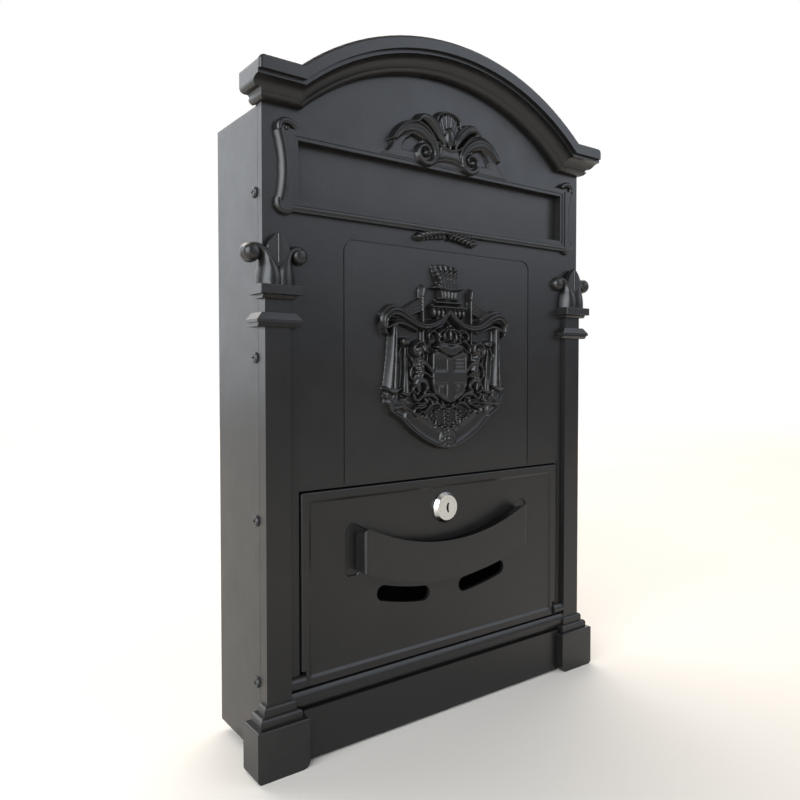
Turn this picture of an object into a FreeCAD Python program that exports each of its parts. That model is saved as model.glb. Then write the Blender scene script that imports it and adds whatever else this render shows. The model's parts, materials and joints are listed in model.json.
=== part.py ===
import FreeCAD, Part
import math
import os

# A wall mounted post box: a cast front with an arched cornice and a drop-down
# door, screwed to a folded steel box. All sizes are in millimetres.
#
# Everything is drawn in the front frame: X to the right seen from the front,
# Y from the front plane of the casting towards the wall, Z up from the feet.
# place() then moves it so that the origin is the centre of the wall screws.

V = FreeCAD.Vector

# Steel box
BODY_HALF = 123.5
BODY_DEPTH = 60.5
SHEET = 1.0
BEND_RADIUS = 1.6
STEEL_FRONT = 5.0
HOUSING_BOTTOM = 5.3
WALL_HOLE_SPACING_X = 160.0
WALL_HOLE_SPACING_Z = 210.0
WALL_HOLE_RADIUS = 3.25
WALL_HOLE_HEIGHT = 200.0

# Cast front
OVERALL_HEIGHT = 410.0
CAST_WALL = 3.0
RIM_DEPTH = 9.3
FLANGE_DEPTH = 13.0
SEAM_GAP = 0.25

# Cornice: distances are measured down from its top edge and out from the front
ARCH_RADIUS = 170.5
EAR_TOP = 371.8
EAR_OVERHANG = 8.1
FASCIA_HEIGHT = 7.2
FASCIA_REACH = 15.7
FASCIA_ROUND = 1.6
EAR_CORNER = 3.0
FILLET_DROP = 9.3
FILLET_REACH = 13.5
COVE_TOP_REACH = 12.7
COVE_DROP = 15.2
COVE_REACH = 5.2
BEAD_REACH = 6.4
BEAD_DROP = 17.6

# Letter slot and its surround
SLOT_SIDE = 20.0
SLOT_HEIGHT = 31.3
SLOT_BELOW_SHOULDER = 17.1
SURROUND_REACH = 2.8
SLOT_RAIL_TOP = 5.0
SLOT_RAIL_BOTTOM = 6.8
SLOT_MARGIN = 2.0
SLOT_MARGIN_DEPTH = 0.5
BRACKET_SIDE = 5.9
BRACKET_REACH = 3.4
BRACKET_WAIST = 3.4
ROLL_WIDTH = 8.0

# Letter flap
FLAP_SIDE_LAP = 1.5
FLAP_SHEET = 1.2
FLAP_GAP = 0.3
FLAP_LAP = 2.3
FLAP_HEM = 7.0
ROD_RADIUS = 1.5
ROD_DEPTH = 4.0
ROD_ABOVE_SLOT = 4.4
KNUCKLE_RADIUS = 2.6
ROD_EAR = 4.0
CLIP_RADIUS = 3.6
CLIP_THICKNESS = 0.8
RUNNING_GAP = 0.05

# Pilasters and capitals, one each side of the front
PILASTER_WIDTH = 14.6
PILASTER_REACH = 3.0
RING_BOTTOM = 237.3
RING_HEIGHT = 7.5
RING_HALF = 13.2
RING_REACH = 6.4
ABACUS_BOTTOM = 254.1
ABACUS_HEIGHT = 5.0
ABACUS_HALF = 12.0
ABACUS_REACH = 8.7
PETAL_DEPTH = 1.4
LEAF_TOP = 286.8

# Plinth
BLOCK_OVERHANG = 8.1
BLOCK_WIDTH = 30.4
BLOCK_HEIGHT = 27.2
BLOCK_REACH = 9.1
STEP_HEIGHT = 5.0
STEP_SET = 2.9
PLINTH_BOTTOM = 1.5
PLINTH_TOP = 29.4
PLINTH_REACH = 3.9

# Door opening and door
SILL = 39.4
OPENING_SIDE = 21.0
OPENING_HEIGHT = 109.1
OPENING_MARGIN = 2.0
OPENING_MARGIN_DEPTH = 0.4
OPENING_RIB = 3.0
DOOR_SIDE_GAP = 0.9
DOOR_TOP_GAP = 1.0
DOOR_THICKNESS = 2.6
BORDER_WIDTH = 6.2
BORDER_REACH = 1.0
BORDER_SLOPE = 1.6
DOOR_RIM_WIDTH = 2.0
DOOR_RIM_DEPTH = 4.0
NOTCH_WIDTH = 2.6
NOTCH_HEIGHT = 9.5
HINGE_HEIGHT = 43.5
HINGE_DEPTH = 1.0
HINGE_HEEL = 3.6
LUG_RADIUS = 4.0
PIN_RADIUS = 1.25
PIN_GRIP = 5.4
PIN_REACH = 6.5
PIN_BOSS = 3.0
LUG_GAP = 0.7

# Handle and windows share the centre of their curves
HANDLE_BELOW_LOCK = 20.4
HANDLE_TOP_RADIUS = 140.0
HANDLE_BAND = 22.6
HANDLE_HALF = 65.5
HANDLE_REACH = 9.0
HANDLE_LEAN = 1.4
HANDLE_DRAFT = 0.5
HANDLE_ROUND = 2.2
HANDLE_WALL = 2.0
HANDLE_END = 10.0
HANDLE_SCREW_X = 60.5
POCKET_DEPTH = 1.0
POCKET_LIP = 0.5
POCKET_MARGIN = 7.0
POCKET_RISE = 22.5
POCKET_CORNER = 4.5
WINDOW_BELOW_HANDLE = 4.7
WINDOW_WIDTH = 9.4
WINDOW_START = 5.5
WINDOW_END = 15.8

# Cam lock
LOCK_HEIGHT = 128.6
LOCK_RADIUS = 8.0
LOCK_FLAT_HALF = 7.0
LOCK_CLEARANCE = 0.1
LOCK_FLANGE_RADIUS = 9.6
LOCK_FACE_RADIUS = 7.8
LOCK_FLANGE = 3.0
LOCK_END = 12.0
PLUG_RADIUS = 5.0
PLUG_COLLAR_RADIUS = 5.8
PLUG_COLLAR = 1.6
KEYWAY_WIDTH = 1.7
KEYWAY_HEIGHT = 6.4
KEYWAY_BOW = 0.6
KEYWAY_DEPTH = 9.0
WASHER_THICKNESS = 0.8
WASHER_RADIUS = 11.5
NUT_THICKNESS = 2.6
NUT_ACROSS = 22.0
CAM_GAP = 0.3
CAM_THICKNESS = 2.0
CAM_REACH = 28.0
CAM_HALF = 7.0
CAM_TIP_HALF = 5.0
DRIVE_HALF = 3.0
CAM_SCREW_RADIUS = 2.0
CAM_SCREW_HEAD = 4.5
CAM_SCREW_HEAD_HEIGHT = 2.6

# Small screws
SIDE_SCREW_RADIUS = 1.6
SIDE_SCREW_HEAD = 3.0
SIDE_SCREW_HEAD_HEIGHT = 1.5
SIDE_SCREW_LENGTH = 5.0
SIDE_SCREW_DEPTH = 8.4
SIDE_SCREW_LOWEST = 46.5
SIDE_SCREW_PITCH = 87.4
SIDE_SCREW_COUNT = 4
FIXING_RADIUS = 1.4
FIXING_HEAD = 2.8
FIXING_HEAD_HEIGHT = 1.6
FIXING_CLEARANCE = 0.3

# Middle panel and the relief on it
PANEL_HALF = 73.8
PANEL_TOP = 288.2
PANEL_CORNER = 6.0
GROOVE_WIDTH = 0.8
GROOVE_DEPTH = 0.5
CREST_FOOT = 165.4
CREST_HEIGHT = 114.0
CREST_DRAWN_HEIGHT = 114.0
CREST_SCREW_LEVELS = (0.06, 0.815)
SCROLL_WIDTH = 88.0
SCROLL_DRAWN_WIDTH = 88.0

# Levels and places worked out from the sizes above
EAR_HALF = BODY_HALF + EAR_OVERHANG
SLOT_HALF = BODY_HALF - SLOT_SIDE
BRACKET_HALF = BODY_HALF - BRACKET_SIDE
FLAP_HALF = SLOT_HALF + FLAP_SIDE_LAP
OPENING_HALF = BODY_HALF - OPENING_SIDE
BLOCK_OUTER = BODY_HALF + BLOCK_OVERHANG
BLOCK_INNER = BLOCK_OUTER - BLOCK_WIDTH
SMILE_CENTRE = LOCK_HEIGHT - HANDLE_BELOW_LOCK + HANDLE_TOP_RADIUS
WINDOW_RADIUS = HANDLE_TOP_RADIUS + HANDLE_BAND + WINDOW_BELOW_HANDLE + WINDOW_WIDTH / 2
CREST_SCREW_HEIGHTS = [CREST_FOOT + level * CREST_HEIGHT for level in CREST_SCREW_LEVELS]
SHOULDER = EAR_TOP - BEAD_DROP
ARCH_CENTRE = OVERALL_HEIGHT - ARCH_RADIUS
HOUSING_TOP = SHOULDER + 0.4
SLOT_TOP = SHOULDER - SLOT_BELOW_SHOULDER
SLOT_BOTTOM = SLOT_TOP - SLOT_HEIGHT
ROD_HEIGHT = SLOT_TOP + ROD_ABOVE_SLOT
OPENING_TOP = SILL + OPENING_HEIGHT
DOOR_HALF = OPENING_HALF - DOOR_SIDE_GAP
DOOR_TOP = OPENING_TOP - DOOR_TOP_GAP
DOOR_BOTTOM = HINGE_HEIGHT - HINGE_HEEL
PILASTER_INNER = BODY_HALF - PILASTER_WIDTH
PILASTER_MIDDLE = BODY_HALF - PILASTER_WIDTH / 2
STEPS_TOP = BLOCK_HEIGHT + 2 * STEP_HEIGHT
FLANGE_OUTER = BODY_HALF - SHEET
FLANGE_INNER = FLANGE_OUTER - CAST_WALL
FAR = 60.0


def box(x0, x1, y0, y1, z0, z1):
    return Part.makeBox(x1 - x0, y1 - y0, z1 - z0, V(x0, y0, z0))


def rod_x(x0, x1, y, z, radius):
    return Part.makeCylinder(radius, x1 - x0, V(x0, y, z), V(1, 0, 0))


def rod_y(x, z, y0, y1, radius):
    return Part.makeCylinder(radius, y1 - y0, V(x, y0, z), V(0, 1, 0))


def joined(shapes):
    whole = shapes[0].fuse(shapes[1:]) if len(shapes) > 1 else shapes[0]
    return whole.removeSplitter()


def mirrored(shape):
    return shape.mirror(V(0, 0, 0), V(1, 0, 0))


def both_sides(shape):
    return [shape, mirrored(shape)]


def outline(start, steps, lift):
    """A closed wire. A step is a point, or a pair (point on the arc, end of the arc)."""
    edges = []
    here = start
    for step in steps:
        if isinstance(step[0], tuple):
            middle, end = step
            edges.append(Part.Arc(lift(here), lift(middle), lift(end)).toShape())
        else:
            end = step
            edges.append(Part.makeLine(lift(here), lift(end)))
        here = end
    if here != start:
        edges.append(Part.makeLine(lift(here), lift(start)))
    return Part.Wire(edges)


def front_prism(start, steps, y0, y1):
    wire = outline(start, steps, lambda p: V(p[0], y0, p[1]))
    return Part.Face(wire).extrude(V(0, y1 - y0, 0))


def side_prism(start, steps, x0, x1):
    wire = outline(start, steps, lambda p: V(x0, p[0], p[1]))
    return Part.Face(wire).extrude(V(x1 - x0, 0, 0))


def turned(start, steps, centre_x, centre_z):
    """A body of revolution about a line along Y, from a profile of (radius, y)."""
    wire = outline(start, steps, lambda p: V(centre_x + p[0], p[1], centre_z))
    return Part.Face(wire).revolve(V(centre_x, 0, centre_z), V(0, 1, 0), 360)


def rounded_wire(half, low, high, radius, y):
    """A rectangle in the front view with four round corners."""
    turn = radius * (1 - math.sqrt(0.5))
    steps = [
        (half - radius, low),
        ((half - turn, low + turn), (half, low + radius)),
        (half, high - radius),
        ((half - turn, high - turn), (half - radius, high)),
        (radius - half, high),
        ((turn - half, high - turn), (-half, high - radius)),
        (-half, low + radius),
        ((turn - half, low + turn), (radius - half, low)),
    ]
    return outline((radius - half, low), steps, lambda p: V(p[0], y, p[1]))


def rounded_plate(half, low, high, radius, y0, y1):
    face = Part.Face(rounded_wire(half, low, high, radius, y0))
    return face.extrude(V(0, y1 - y0, 0))


def edges_where(shape, test):
    """The edges whose every corner passes the test."""
    return [e for e in shape.Edges if all(test(v.Point) for v in e.Vertexes)]


def place(shape):
    moved = shape.copy()
    moved.translate(V(0, -BODY_DEPTH, -WALL_HOLE_HEIGHT))
    return moved


# Raised ribs with a round top, for the carved work

def rib_profile(across, base, width, height, foot):
    """The section of a rib: a round crown, on upright sides where it is tall."""
    half = across * (width / 2)
    crown = foot + V(0, base - height, 0)
    side = V(0, base - max(height - 0.4 * width, 0.0), 0)
    edges = [Part.Arc(foot - half + side, crown, foot + half + side).toShape()]
    corners = [foot + half + side, foot + half + V(0, base, 0), foot - half + V(0, base, 0),
               foot - half + side]
    for start, end in zip(corners, corners[1:]):
        if start.distanceToPoint(end) > 0.01:
            edges.append(Part.makeLine(start, end))
    return Part.Face(Part.Wire(edges))


def arc_rib(cx, cz, radius, start, sweep, width, height, base=0.0):
    angle = math.radians(start)
    across = V(math.cos(angle), 0, math.sin(angle))
    profile = rib_profile(across, base, width, height, V(cx, 0, cz) + across * radius)
    return profile.revolve(V(cx, 0, cz), V(0, -1, 0), sweep)


def straight_rib(x0, z0, x1, z1, width, height, base=0.0):
    along = V(x1 - x0, 0, z1 - z0)
    across = V(-along.z, 0, along.x).normalize()
    return rib_profile(across, base, width, height, V(x0, 0, z0)).extrude(along)


def bow_rib(start, middle, end, width, height, base=0.0):
    """A rib along the arc through three points of the front view."""
    foot = V(start[0], 0, start[1])
    arc = Part.Arc(foot, V(middle[0], 0, middle[1]), V(end[0], 0, end[1])).toShape()
    centre = arc.Curve.Center
    profile = rib_profile((foot - centre).normalize(), base, width, height, foot)
    sweep = math.degrees(arc.LastParameter - arc.FirstParameter)
    return profile.revolve(centre, arc.Curve.Axis, sweep)


def knob(x, z, radius, height, base=0.0):
    """A round button standing on the plane at base: part of a ball."""
    ball = (radius * radius + height * height) / (2 * height)
    sphere = Part.makeSphere(ball, V(x, base - height + ball, z))
    return sphere.common(box(x - ball, x + ball, base - height - 1, base, z - ball, z + ball))


def leaf(x, z, length, width, height, heading, base=0.0):
    """A pointed leaf from its foot at x, z towards heading, in degrees from +X."""
    half = width / 2
    steps = [
        ((length * 0.42, half), (length, 0.0)),
        ((length * 0.42, -half), (0.0, 0.0)),
    ]
    blade = front_prism((0.0, 0.0), steps, base - height, base)
    blade.rotate(V(0, 0, 0), V(0, -1, 0), heading)
    blade.translate(V(x, 0, z))
    return blade


def sized(pieces, factor, z):
    """Carved work drawn about its own foot, joined, brought to size and lifted to its place."""
    whole = joined(pieces)
    whole.scale(factor, V(0, 0, 0))
    whole.translate(V(0, 0, z))
    return whole


# Cast front

def cornice_profile(across, level):
    """Steps of the void in front of the mouldings. across is -1 or 1 down the drop."""
    def at(drop, reach):
        return (level + across * drop, -reach)
    return [
        at(FASCIA_HEIGHT, FILLET_REACH),
        at(FILLET_DROP, FILLET_REACH),
        at(FILLET_DROP, COVE_TOP_REACH),
        (at(FILLET_DROP + 1.6, COVE_REACH + 2.9), at(COVE_DROP, COVE_REACH)),
        at(COVE_DROP, BEAD_REACH),
        (at(BEAD_DROP - 0.8, BEAD_REACH - 1.6), at(BEAD_DROP, 0.0)),
    ]


def swapped(steps):
    """The same profile with its two coordinates exchanged."""
    result = []
    for step in steps:
        if isinstance(step[0], tuple):
            result.append(((step[0][1], step[0][0]), (step[1][1], step[1][0])))
        else:
            result.append((step[1], step[0]))
    return result


def cornice_blank():
    """The outer form: the arch and the two ears, before the mouldings are cut."""
    level = EAR_TOP - FASCIA_HEIGHT
    disc = rod_y(0, ARCH_CENTRE, -FASCIA_REACH, RIM_DEPTH, ARCH_RADIUS)
    disc = disc.common(box(-EAR_HALF, EAR_HALF, -FAR, FAR, level, OVERALL_HEIGHT + 1))
    ears = box(-EAR_HALF, EAR_HALF, -FASCIA_REACH, RIM_DEPTH, level, EAR_TOP)
    upper = joined([disc, ears])
    corners = edges_where(upper, lambda p: abs(p.x) > EAR_HALF - 0.01 and p.z > EAR_TOP - 0.01)
    upper = upper.makeFillet(EAR_CORNER, corners)
    front = edges_where(upper, lambda p: p.y < 0.01 - FASCIA_REACH)
    front = [e for e in front if e.CenterOfMass.z > level + 0.1]
    upper = upper.makeFillet(FASCIA_ROUND, front)
    side = [
        (EAR_HALF, EAR_TOP - 10.2),
        ((EAR_HALF - 0.8, EAR_TOP - 12.0), (EAR_HALF - 2.6, EAR_TOP - 12.8)),
        (EAR_HALF - 4.6, EAR_TOP - 12.8),
        ((EAR_HALF - 5.3, EAR_TOP - 13.5), (EAR_HALF - 5.6, EAR_TOP - 14.8)),
        (EAR_HALF - 5.1, EAR_TOP - 15.0),
        ((EAR_HALF - 6.0, EAR_TOP - 16.9), (BODY_HALF, SHOULDER)),
        (0.0, SHOULDER),
        (0.0, level),
    ]
    lower = front_prism((EAR_HALF, level), side, -FASCIA_REACH, RIM_DEPTH)
    return joined([upper] + both_sides(lower))


def cornice():
    outer = ARCH_RADIUS - FASCIA_HEIGHT
    arch_steps = [(outer, -FAR)] + cornice_profile(-1, ARCH_RADIUS) + [(0.0, 0.0)]
    arch_void = turned((0.0, -FAR), arch_steps, 0, ARCH_CENTRE)
    ear_steps = [(-FAR, EAR_TOP - FASCIA_HEIGHT)] + swapped(cornice_profile(-1, EAR_TOP))
    ear_steps += [(0.0, SHOULDER - 10)]
    ear_void = side_prism((-FAR, SHOULDER - 10), ear_steps, -2 * EAR_HALF, 2 * EAR_HALF)
    return cornice_blank().cut([arch_void, ear_void, cornice_hollow()])


def cornice_hollow():
    """The room behind the mouldings, one wall thickness inside them."""
    wall = CAST_WALL
    deep = FASCIA_REACH - wall
    slope = [(FASCIA_HEIGHT - 1.6, -deep), (COVE_DROP - 2.4, -2.4), (BEAD_DROP - 3.2, wall)]
    disc = rod_y(0, ARCH_CENTRE, -deep, FAR, ARCH_RADIUS - wall)
    disc = disc.common(box(-BODY_HALF, BODY_HALF, -FAR, FAR, SHOULDER - 10, OVERALL_HEIGHT))
    ears = box(wall - BODY_HALF, BODY_HALF - wall, -deep, FAR, SHOULDER - 10, EAR_TOP - wall)
    arch_steps = [(ARCH_RADIUS - drop, y) for drop, y in slope] + [(0.0, wall), (0.0, -FAR)]
    arch_keep = turned((ARCH_RADIUS - slope[0][0], -FAR), arch_steps, 0, ARCH_CENTRE)
    ear_steps = [(y, EAR_TOP - drop) for drop, y in slope] + [(wall, 0.0), (-FAR, 0.0)]
    ear_keep = side_prism((-FAR, EAR_TOP - slope[0][0]), ear_steps, -BODY_HALF, BODY_HALF)
    return joined([disc, ears]).cut([arch_keep, ear_keep])


def plate_and_flanges():
    plate = box(-BODY_HALF, BODY_HALF, 0, CAST_WALL, PLINTH_BOTTOM, SHOULDER)
    side = box(FLANGE_INNER, BODY_HALF, 0, STEEL_FRONT - SEAM_GAP, PLINTH_BOTTOM, SHOULDER)
    flange = box(
        FLANGE_INNER, FLANGE_OUTER, CAST_WALL, FLANGE_DEPTH, BLOCK_HEIGHT + 2, SHOULDER - CAST_WALL
    )
    return [plate] + both_sides(side) + both_sides(flange)


def bracket(top, bottom):
    """The right-hand end of the surround: a hollow-sided plate with a scroll and a lobe."""
    far = BRACKET_HALF
    middle = (top + bottom) / 2
    crown = far - BRACKET_WAIST - ROLL_WIDTH / 2
    near = SLOT_HALF + SLOT_MARGIN + 2.0
    half_chord = (top - bottom) / 2 - 1.0
    bow = (half_chord**2 + BRACKET_WAIST**2) / (2 * BRACKET_WAIST)
    spread = math.degrees(math.asin(half_chord / bow))
    roll = arc_rib(crown + bow, middle, bow, 180 - spread, 2 * spread, ROLL_WIDTH, BRACKET_REACH)
    inset = bow + 0.9
    end_x = crown + bow - math.sqrt(inset**2 - (half_chord - 0.4)**2)
    face = front_prism(
        (near, middle - half_chord + 0.4),
        [
            (end_x, middle - half_chord + 0.4),
            ((crown + bow - inset, middle), (end_x, middle + half_chord - 0.4)),
            (near, middle + half_chord - 0.4),
        ],
        -BRACKET_REACH, 0.5,
    )
    ground = front_prism(
        (far - 1.0, top - 1.6),
        [
            ((far - 1.2, top + 2.6), (far - 6.6, top + 4.6)),
            ((far - 12.4, top + 4.2), (far - 15.6, top + 0.6)), (far - 14.0, top - 1.6),
        ],
        -1.6, 0.5,
    )
    pieces = [face, roll, ground]
    curl = [
        ((far - 3.2, top - 1.1), (far - 3.7, top + 2.4), (far - 6.8, top + 4.0)),
        ((far - 6.8, top + 4.0), (far - 10.4, top + 3.2), (far - 13.4, top + 0.9)),
    ]
    for start, through, end in curl:
        pieces.append(bow_rib(start, through, end, 3.4, BRACKET_REACH + 0.5))
    pieces.append(knob(far - 8.2, top + 0.6, 1.4, 2.8))
    pieces.append(knob(far - 13.6, top + 0.7, 2.3, BRACKET_REACH + 0.7))
    lobe = front_prism(
        (near, bottom + 4.6),
        [
            (near, bottom + 0.9), ((far - 6.6, bottom - 0.1), (far - 3.0, bottom + 1.4)),
            (far - 3.0, bottom + 4.6),
        ],
        -BRACKET_REACH, 0.5,
    )
    pieces.append(lobe)
    pieces.append(bow_rib(
        (near + 0.2, bottom + 1.6), (far - 5.0, bottom + 0.8), (far - 3.2, bottom + 6.0),
        4.8, BRACKET_REACH - 0.2,
    ))
    return joined(pieces)


def slot_surround():
    """The raised plate round the letter slot, with a scroll bracket at each end."""
    top = SLOT_TOP + SLOT_RAIL_TOP
    bottom = SLOT_BOTTOM - SLOT_RAIL_BOTTOM
    reach = BRACKET_HALF - 8.0
    plate = box(-reach, reach, -SURROUND_REACH, 0.5, bottom, top)
    sill_roll = straight_rib(-reach, bottom + 2.0, reach, bottom + 2.0, 4.0, 3.4)
    return [plate, sill_roll] + both_sides(bracket(top, bottom))


def slot_cuts():
    opening = box(-SLOT_HALF, SLOT_HALF, -FAR, FAR, SLOT_BOTTOM, SLOT_TOP)
    margin = box(
        -SLOT_HALF - SLOT_MARGIN, SLOT_HALF + SLOT_MARGIN, -FAR,
        SLOT_MARGIN_DEPTH - SURROUND_REACH, SLOT_BOTTOM - SLOT_MARGIN, SLOT_TOP + SLOT_MARGIN,
    )
    ear_end = FLAP_HALF + 1.5 + ROD_EAR
    rod_room = box(
        -ear_end - 2, ear_end + 2, ROD_DEPTH - KNUCKLE_RADIUS - 0.4, CAST_WALL + 0.01,
        SLOT_TOP, ROD_HEIGHT + KNUCKLE_RADIUS + 1.5,
    )
    return [opening, margin, rod_room]


def rod_ears():
    near = FLAP_HALF + 1.5
    front = ROD_DEPTH - KNUCKLE_RADIUS - 0.8
    ear = box(near, near + ROD_EAR, front, ROD_DEPTH + 3.0, ROD_HEIGHT - 3.4, ROD_HEIGHT + 3.4)
    ear = ear.cut(rod_x(near - 1, near + ROD_EAR + 1, ROD_DEPTH, ROD_HEIGHT, ROD_RADIUS))
    return both_sides(ear)


def scroll_work():
    """The right-hand half of the leaf scrolls over the slot, from its foot at 0."""
    pieces = []
    outer = [
        ((42.6, 8.4), (29.0, 20.0), (15.0, 16.4)),
        ((15.0, 16.4), (9.4, 10.6), (10.0, 4.2)),
        ((10.0, 4.2), (16.4, -0.4), (22.4, 3.8)),
        ((22.4, 3.8), (21.4, 8.0), (17.4, 8.8)),
    ]
    for k, (start, middle, end) in enumerate(outer):
        pieces.append(bow_rib(start, middle, end, 3.9 - 0.2 * k, 5.2 + 0.15 * k, 0.4))
    pieces.append(bow_rib((38.8, 7.6), (28.6, 16.4), (18.4, 12.6), 3.6, 4.4, 0.4))
    pieces.append(bow_rib((18.4, 12.6), (13.4, 9.6), (13.6, 5.2), 3.4, 4.6, 0.4))
    pieces.append(bow_rib((35.4, 6.8), (28.2, 12.9), (21.2, 9.4), 2.8, 3.6, 0.4))
    pieces.append(bow_rib((10.4, 21.2), (17.0, 25.4), (24.0, 21.2), 3.0, 5.0, 0.4))
    pieces.append(bow_rib((10.8, 18.4), (16.4, 21.8), (21.8, 19.2), 2.6, 4.4, 0.4))
    pieces.append(knob(17.2, 4.6, 3.2, 6.4, 0.4))
    return pieces


def acanthus():
    """The leaf scrolls over the slot, and the twisted garland under it."""
    left = [
        ((-44.4, 1.6), (-42.6, 7.6)), (-44.2, 8.4), ((-37.2, 18.4), (-25.0, 21.4)),
        ((-18.6, 27.0), (-10.2, 25.4)),
    ]
    right = [
        ((0.0, 31.0), (10.2, 25.4)), ((18.6, 27.0), (25.0, 21.4)),
        ((37.2, 18.4), (44.2, 8.4)), (42.6, 7.6), ((44.4, 1.6), (50.0, -1.0)),
    ]
    pieces = [front_prism((-50.0, -1.0), left + right, -2.0, 0.5)]
    neck = [
        ((0.0, 9.0), (11.0, 15.0)), (9.6, 4.0), ((10.6, 1.0), (13.6, -1.2)),
        ((0.0, 2.2), (-13.6, -1.2)), ((-10.6, 1.0), (-9.6, 4.0)),
    ]
    pieces.append(front_prism((-11.0, 15.0), neck, -3.6, 0.4))
    for piece in scroll_work():
        pieces += both_sides(piece)
    pieces.append(bow_rib((-9.4, 24.2), (0.0, 29.4), (9.4, 24.2), 3.2, 6.2, 0.4))
    pieces.append(bow_rib((-7.0, 20.8), (0.0, 25.6), (7.0, 20.8), 2.8, 6.8, 0.4))
    pieces.append(knob(0.0, 15.4, 5.6, 8.0, 0.4))
    rope = [bow_rib((1.2, -43.9), (11.0, -44.7), (21.0, -46.8), 4.2, 2.8, 0.4)]
    for k in range(6):
        x = 3.6 + 3.3 * k
        z = -44.0 - 0.0062 * x * x
        rope.append(straight_rib(x - 1.5, z - 2.1, x + 1.5, z + 2.1, 2.2, 3.6, 0.4))
    rope.append(knob(21.6, -46.9, 2.4, 3.8, 0.4))
    for piece in rope:
        pieces += both_sides(piece)
    return [sized(pieces, SCROLL_WIDTH / SCROLL_DRAWN_WIDTH, SLOT_TOP + SLOT_RAIL_TOP)]


def capital():
    """The right-hand capital: ring, neck, abacus, round calyx and curling leaves."""
    middle = PILASTER_MIDDLE
    pieces = []
    ring_low = RING_BOTTOM + 2.2
    ring_high = RING_BOTTOM + RING_HEIGHT
    band = box(middle - 12.2, middle + 12.2, -5.6, STEEL_FRONT + 3.0, RING_BOTTOM, ring_low)
    under = edges_where(band, lambda p: p.z < RING_BOTTOM + 0.01 and p.y < STEEL_FRONT)
    pieces.append(band.makeChamfer(1.5, under))
    section = [
        (RING_HALF, ring_low),
        (RING_HALF, ring_low + 1.6),
        (RING_HALF - 3.4, ring_high),
        (3.4 - RING_HALF, ring_high),
        (-RING_HALF, ring_low + 1.6),
        (-RING_HALF, ring_low),
    ]
    ring = front_prism(section[-1], section[:-1], -RING_REACH, STEEL_FRONT + 3.0)
    slope = side_prism(
        (-RING_REACH, ring_low),
        [(-RING_REACH, ring_low + 1.6), (1.8 - RING_REACH, ring_high), (FAR, ring_high), (FAR, ring_low)],
        -FAR, FAR,
    )
    ring = ring.common(slope)
    ring.translate(V(middle, 0, 0))
    pieces.append(ring)
    neck_half = PILASTER_WIDTH / 2
    pieces.append(
        box(middle - neck_half, middle + neck_half, -PILASTER_REACH, CAST_WALL, ring_high - 1, ABACUS_BOTTOM)
    )
    band = box(middle - 9.8, middle + 9.8, -6.2, 4.6, ABACUS_BOTTOM - 2.0, ABACUS_BOTTOM)
    under = edges_where(band, lambda p: p.z < ABACUS_BOTTOM - 1.99 and p.y < 4)
    pieces.append(band.makeChamfer(1.2, under))
    abacus_top = ABACUS_BOTTOM + ABACUS_HEIGHT
    abacus = box(
        middle - ABACUS_HALF, middle + ABACUS_HALF, -ABACUS_REACH, STEEL_FRONT + 2.0,
        ABACUS_BOTTOM, abacus_top,
    )
    front = edges_where(abacus, lambda p: p.y < 0.01 - ABACUS_REACH)
    pieces.append(abacus.makeFillet(0.5, front))
    foot = abacus_top - 0.2
    blade_steps = [
        ((-6.1, foot + 15.4), (-6.3, foot + 19.0)), ((-4.4, foot + 23.6), (0.0, LEAF_TOP)),
        ((4.4, foot + 23.6), (6.3, foot + 19.0)), ((6.1, foot + 15.4), (2.6, foot + 10.0)),
    ]
    blade = front_prism((-2.6, foot + 10.0), blade_steps, -5.0, -1.2)
    blade = joined([blade, straight_rib(0, foot + 12.0, 0, LEAF_TOP - 1.0, 1.8, 0.9, -4.9)])
    blade.translate(V(middle, 0, 0))
    pieces.append(blade)
    for side in (1, -1):
        petal = curling_petal(side)
        petal.translate(V(middle, PETAL_DEPTH, foot))
        pieces.append(petal)
    return pieces


def curling_petal(side):
    """One side of the calyx: it stands as half of a bell, turns over and rolls up outwards."""
    stations = [
        (3.4, 0.0, 7.4, 9.6, 0), (3.4, 5.0, 7.2, 9.5, 0), (4.0, 10.0, 5.6, 8.6, 2),
        (5.4, 14.0, 3.5, 7.2, -14), (7.2, 17.6, 2.6, 6.4, -36), (10.2, 19.8, 2.2, 5.8, -66),
        (13.4, 19.8, 2.2, 5.6, -98),
    ]
    rings = []
    for out, up, thick, deep, heading in stations:
        ring = Part.Ellipse(V(0, 0, 0), deep, thick).toShape()
        ring.rotate(V(0, 0, 0), V(0, 0, 1), 90)
        ring.rotate(V(0, 0, 0), V(0, 1, 0), -side * heading)
        ring.translate(V(side * out, 0, up))
        rings.append(Part.Wire([ring]))
    horn = Part.makeLoft(rings, True, False)
    roll = turned(
        (0.0, -6.0), [((3.6, -5.0), (4.9, -1.8)), ((4.9, 2.6), (3.2, 5.4)), (0.0, 5.4)],
        side * 13.6, 16.8,
    )
    room = box(-FAR, FAR, -FAR, STEEL_FRONT + 1.8 - PETAL_DEPTH, -FAR, FAR)
    return horn.fuse(roll).common(room)


def pilasters():
    shaft = box(PILASTER_INNER, BODY_HALF, -PILASTER_REACH, 0.5, STEPS_TOP - 1, RING_BOTTOM + 1)
    right = [shaft] + capital()
    return right + [mirrored(piece) for piece in right]


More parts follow.
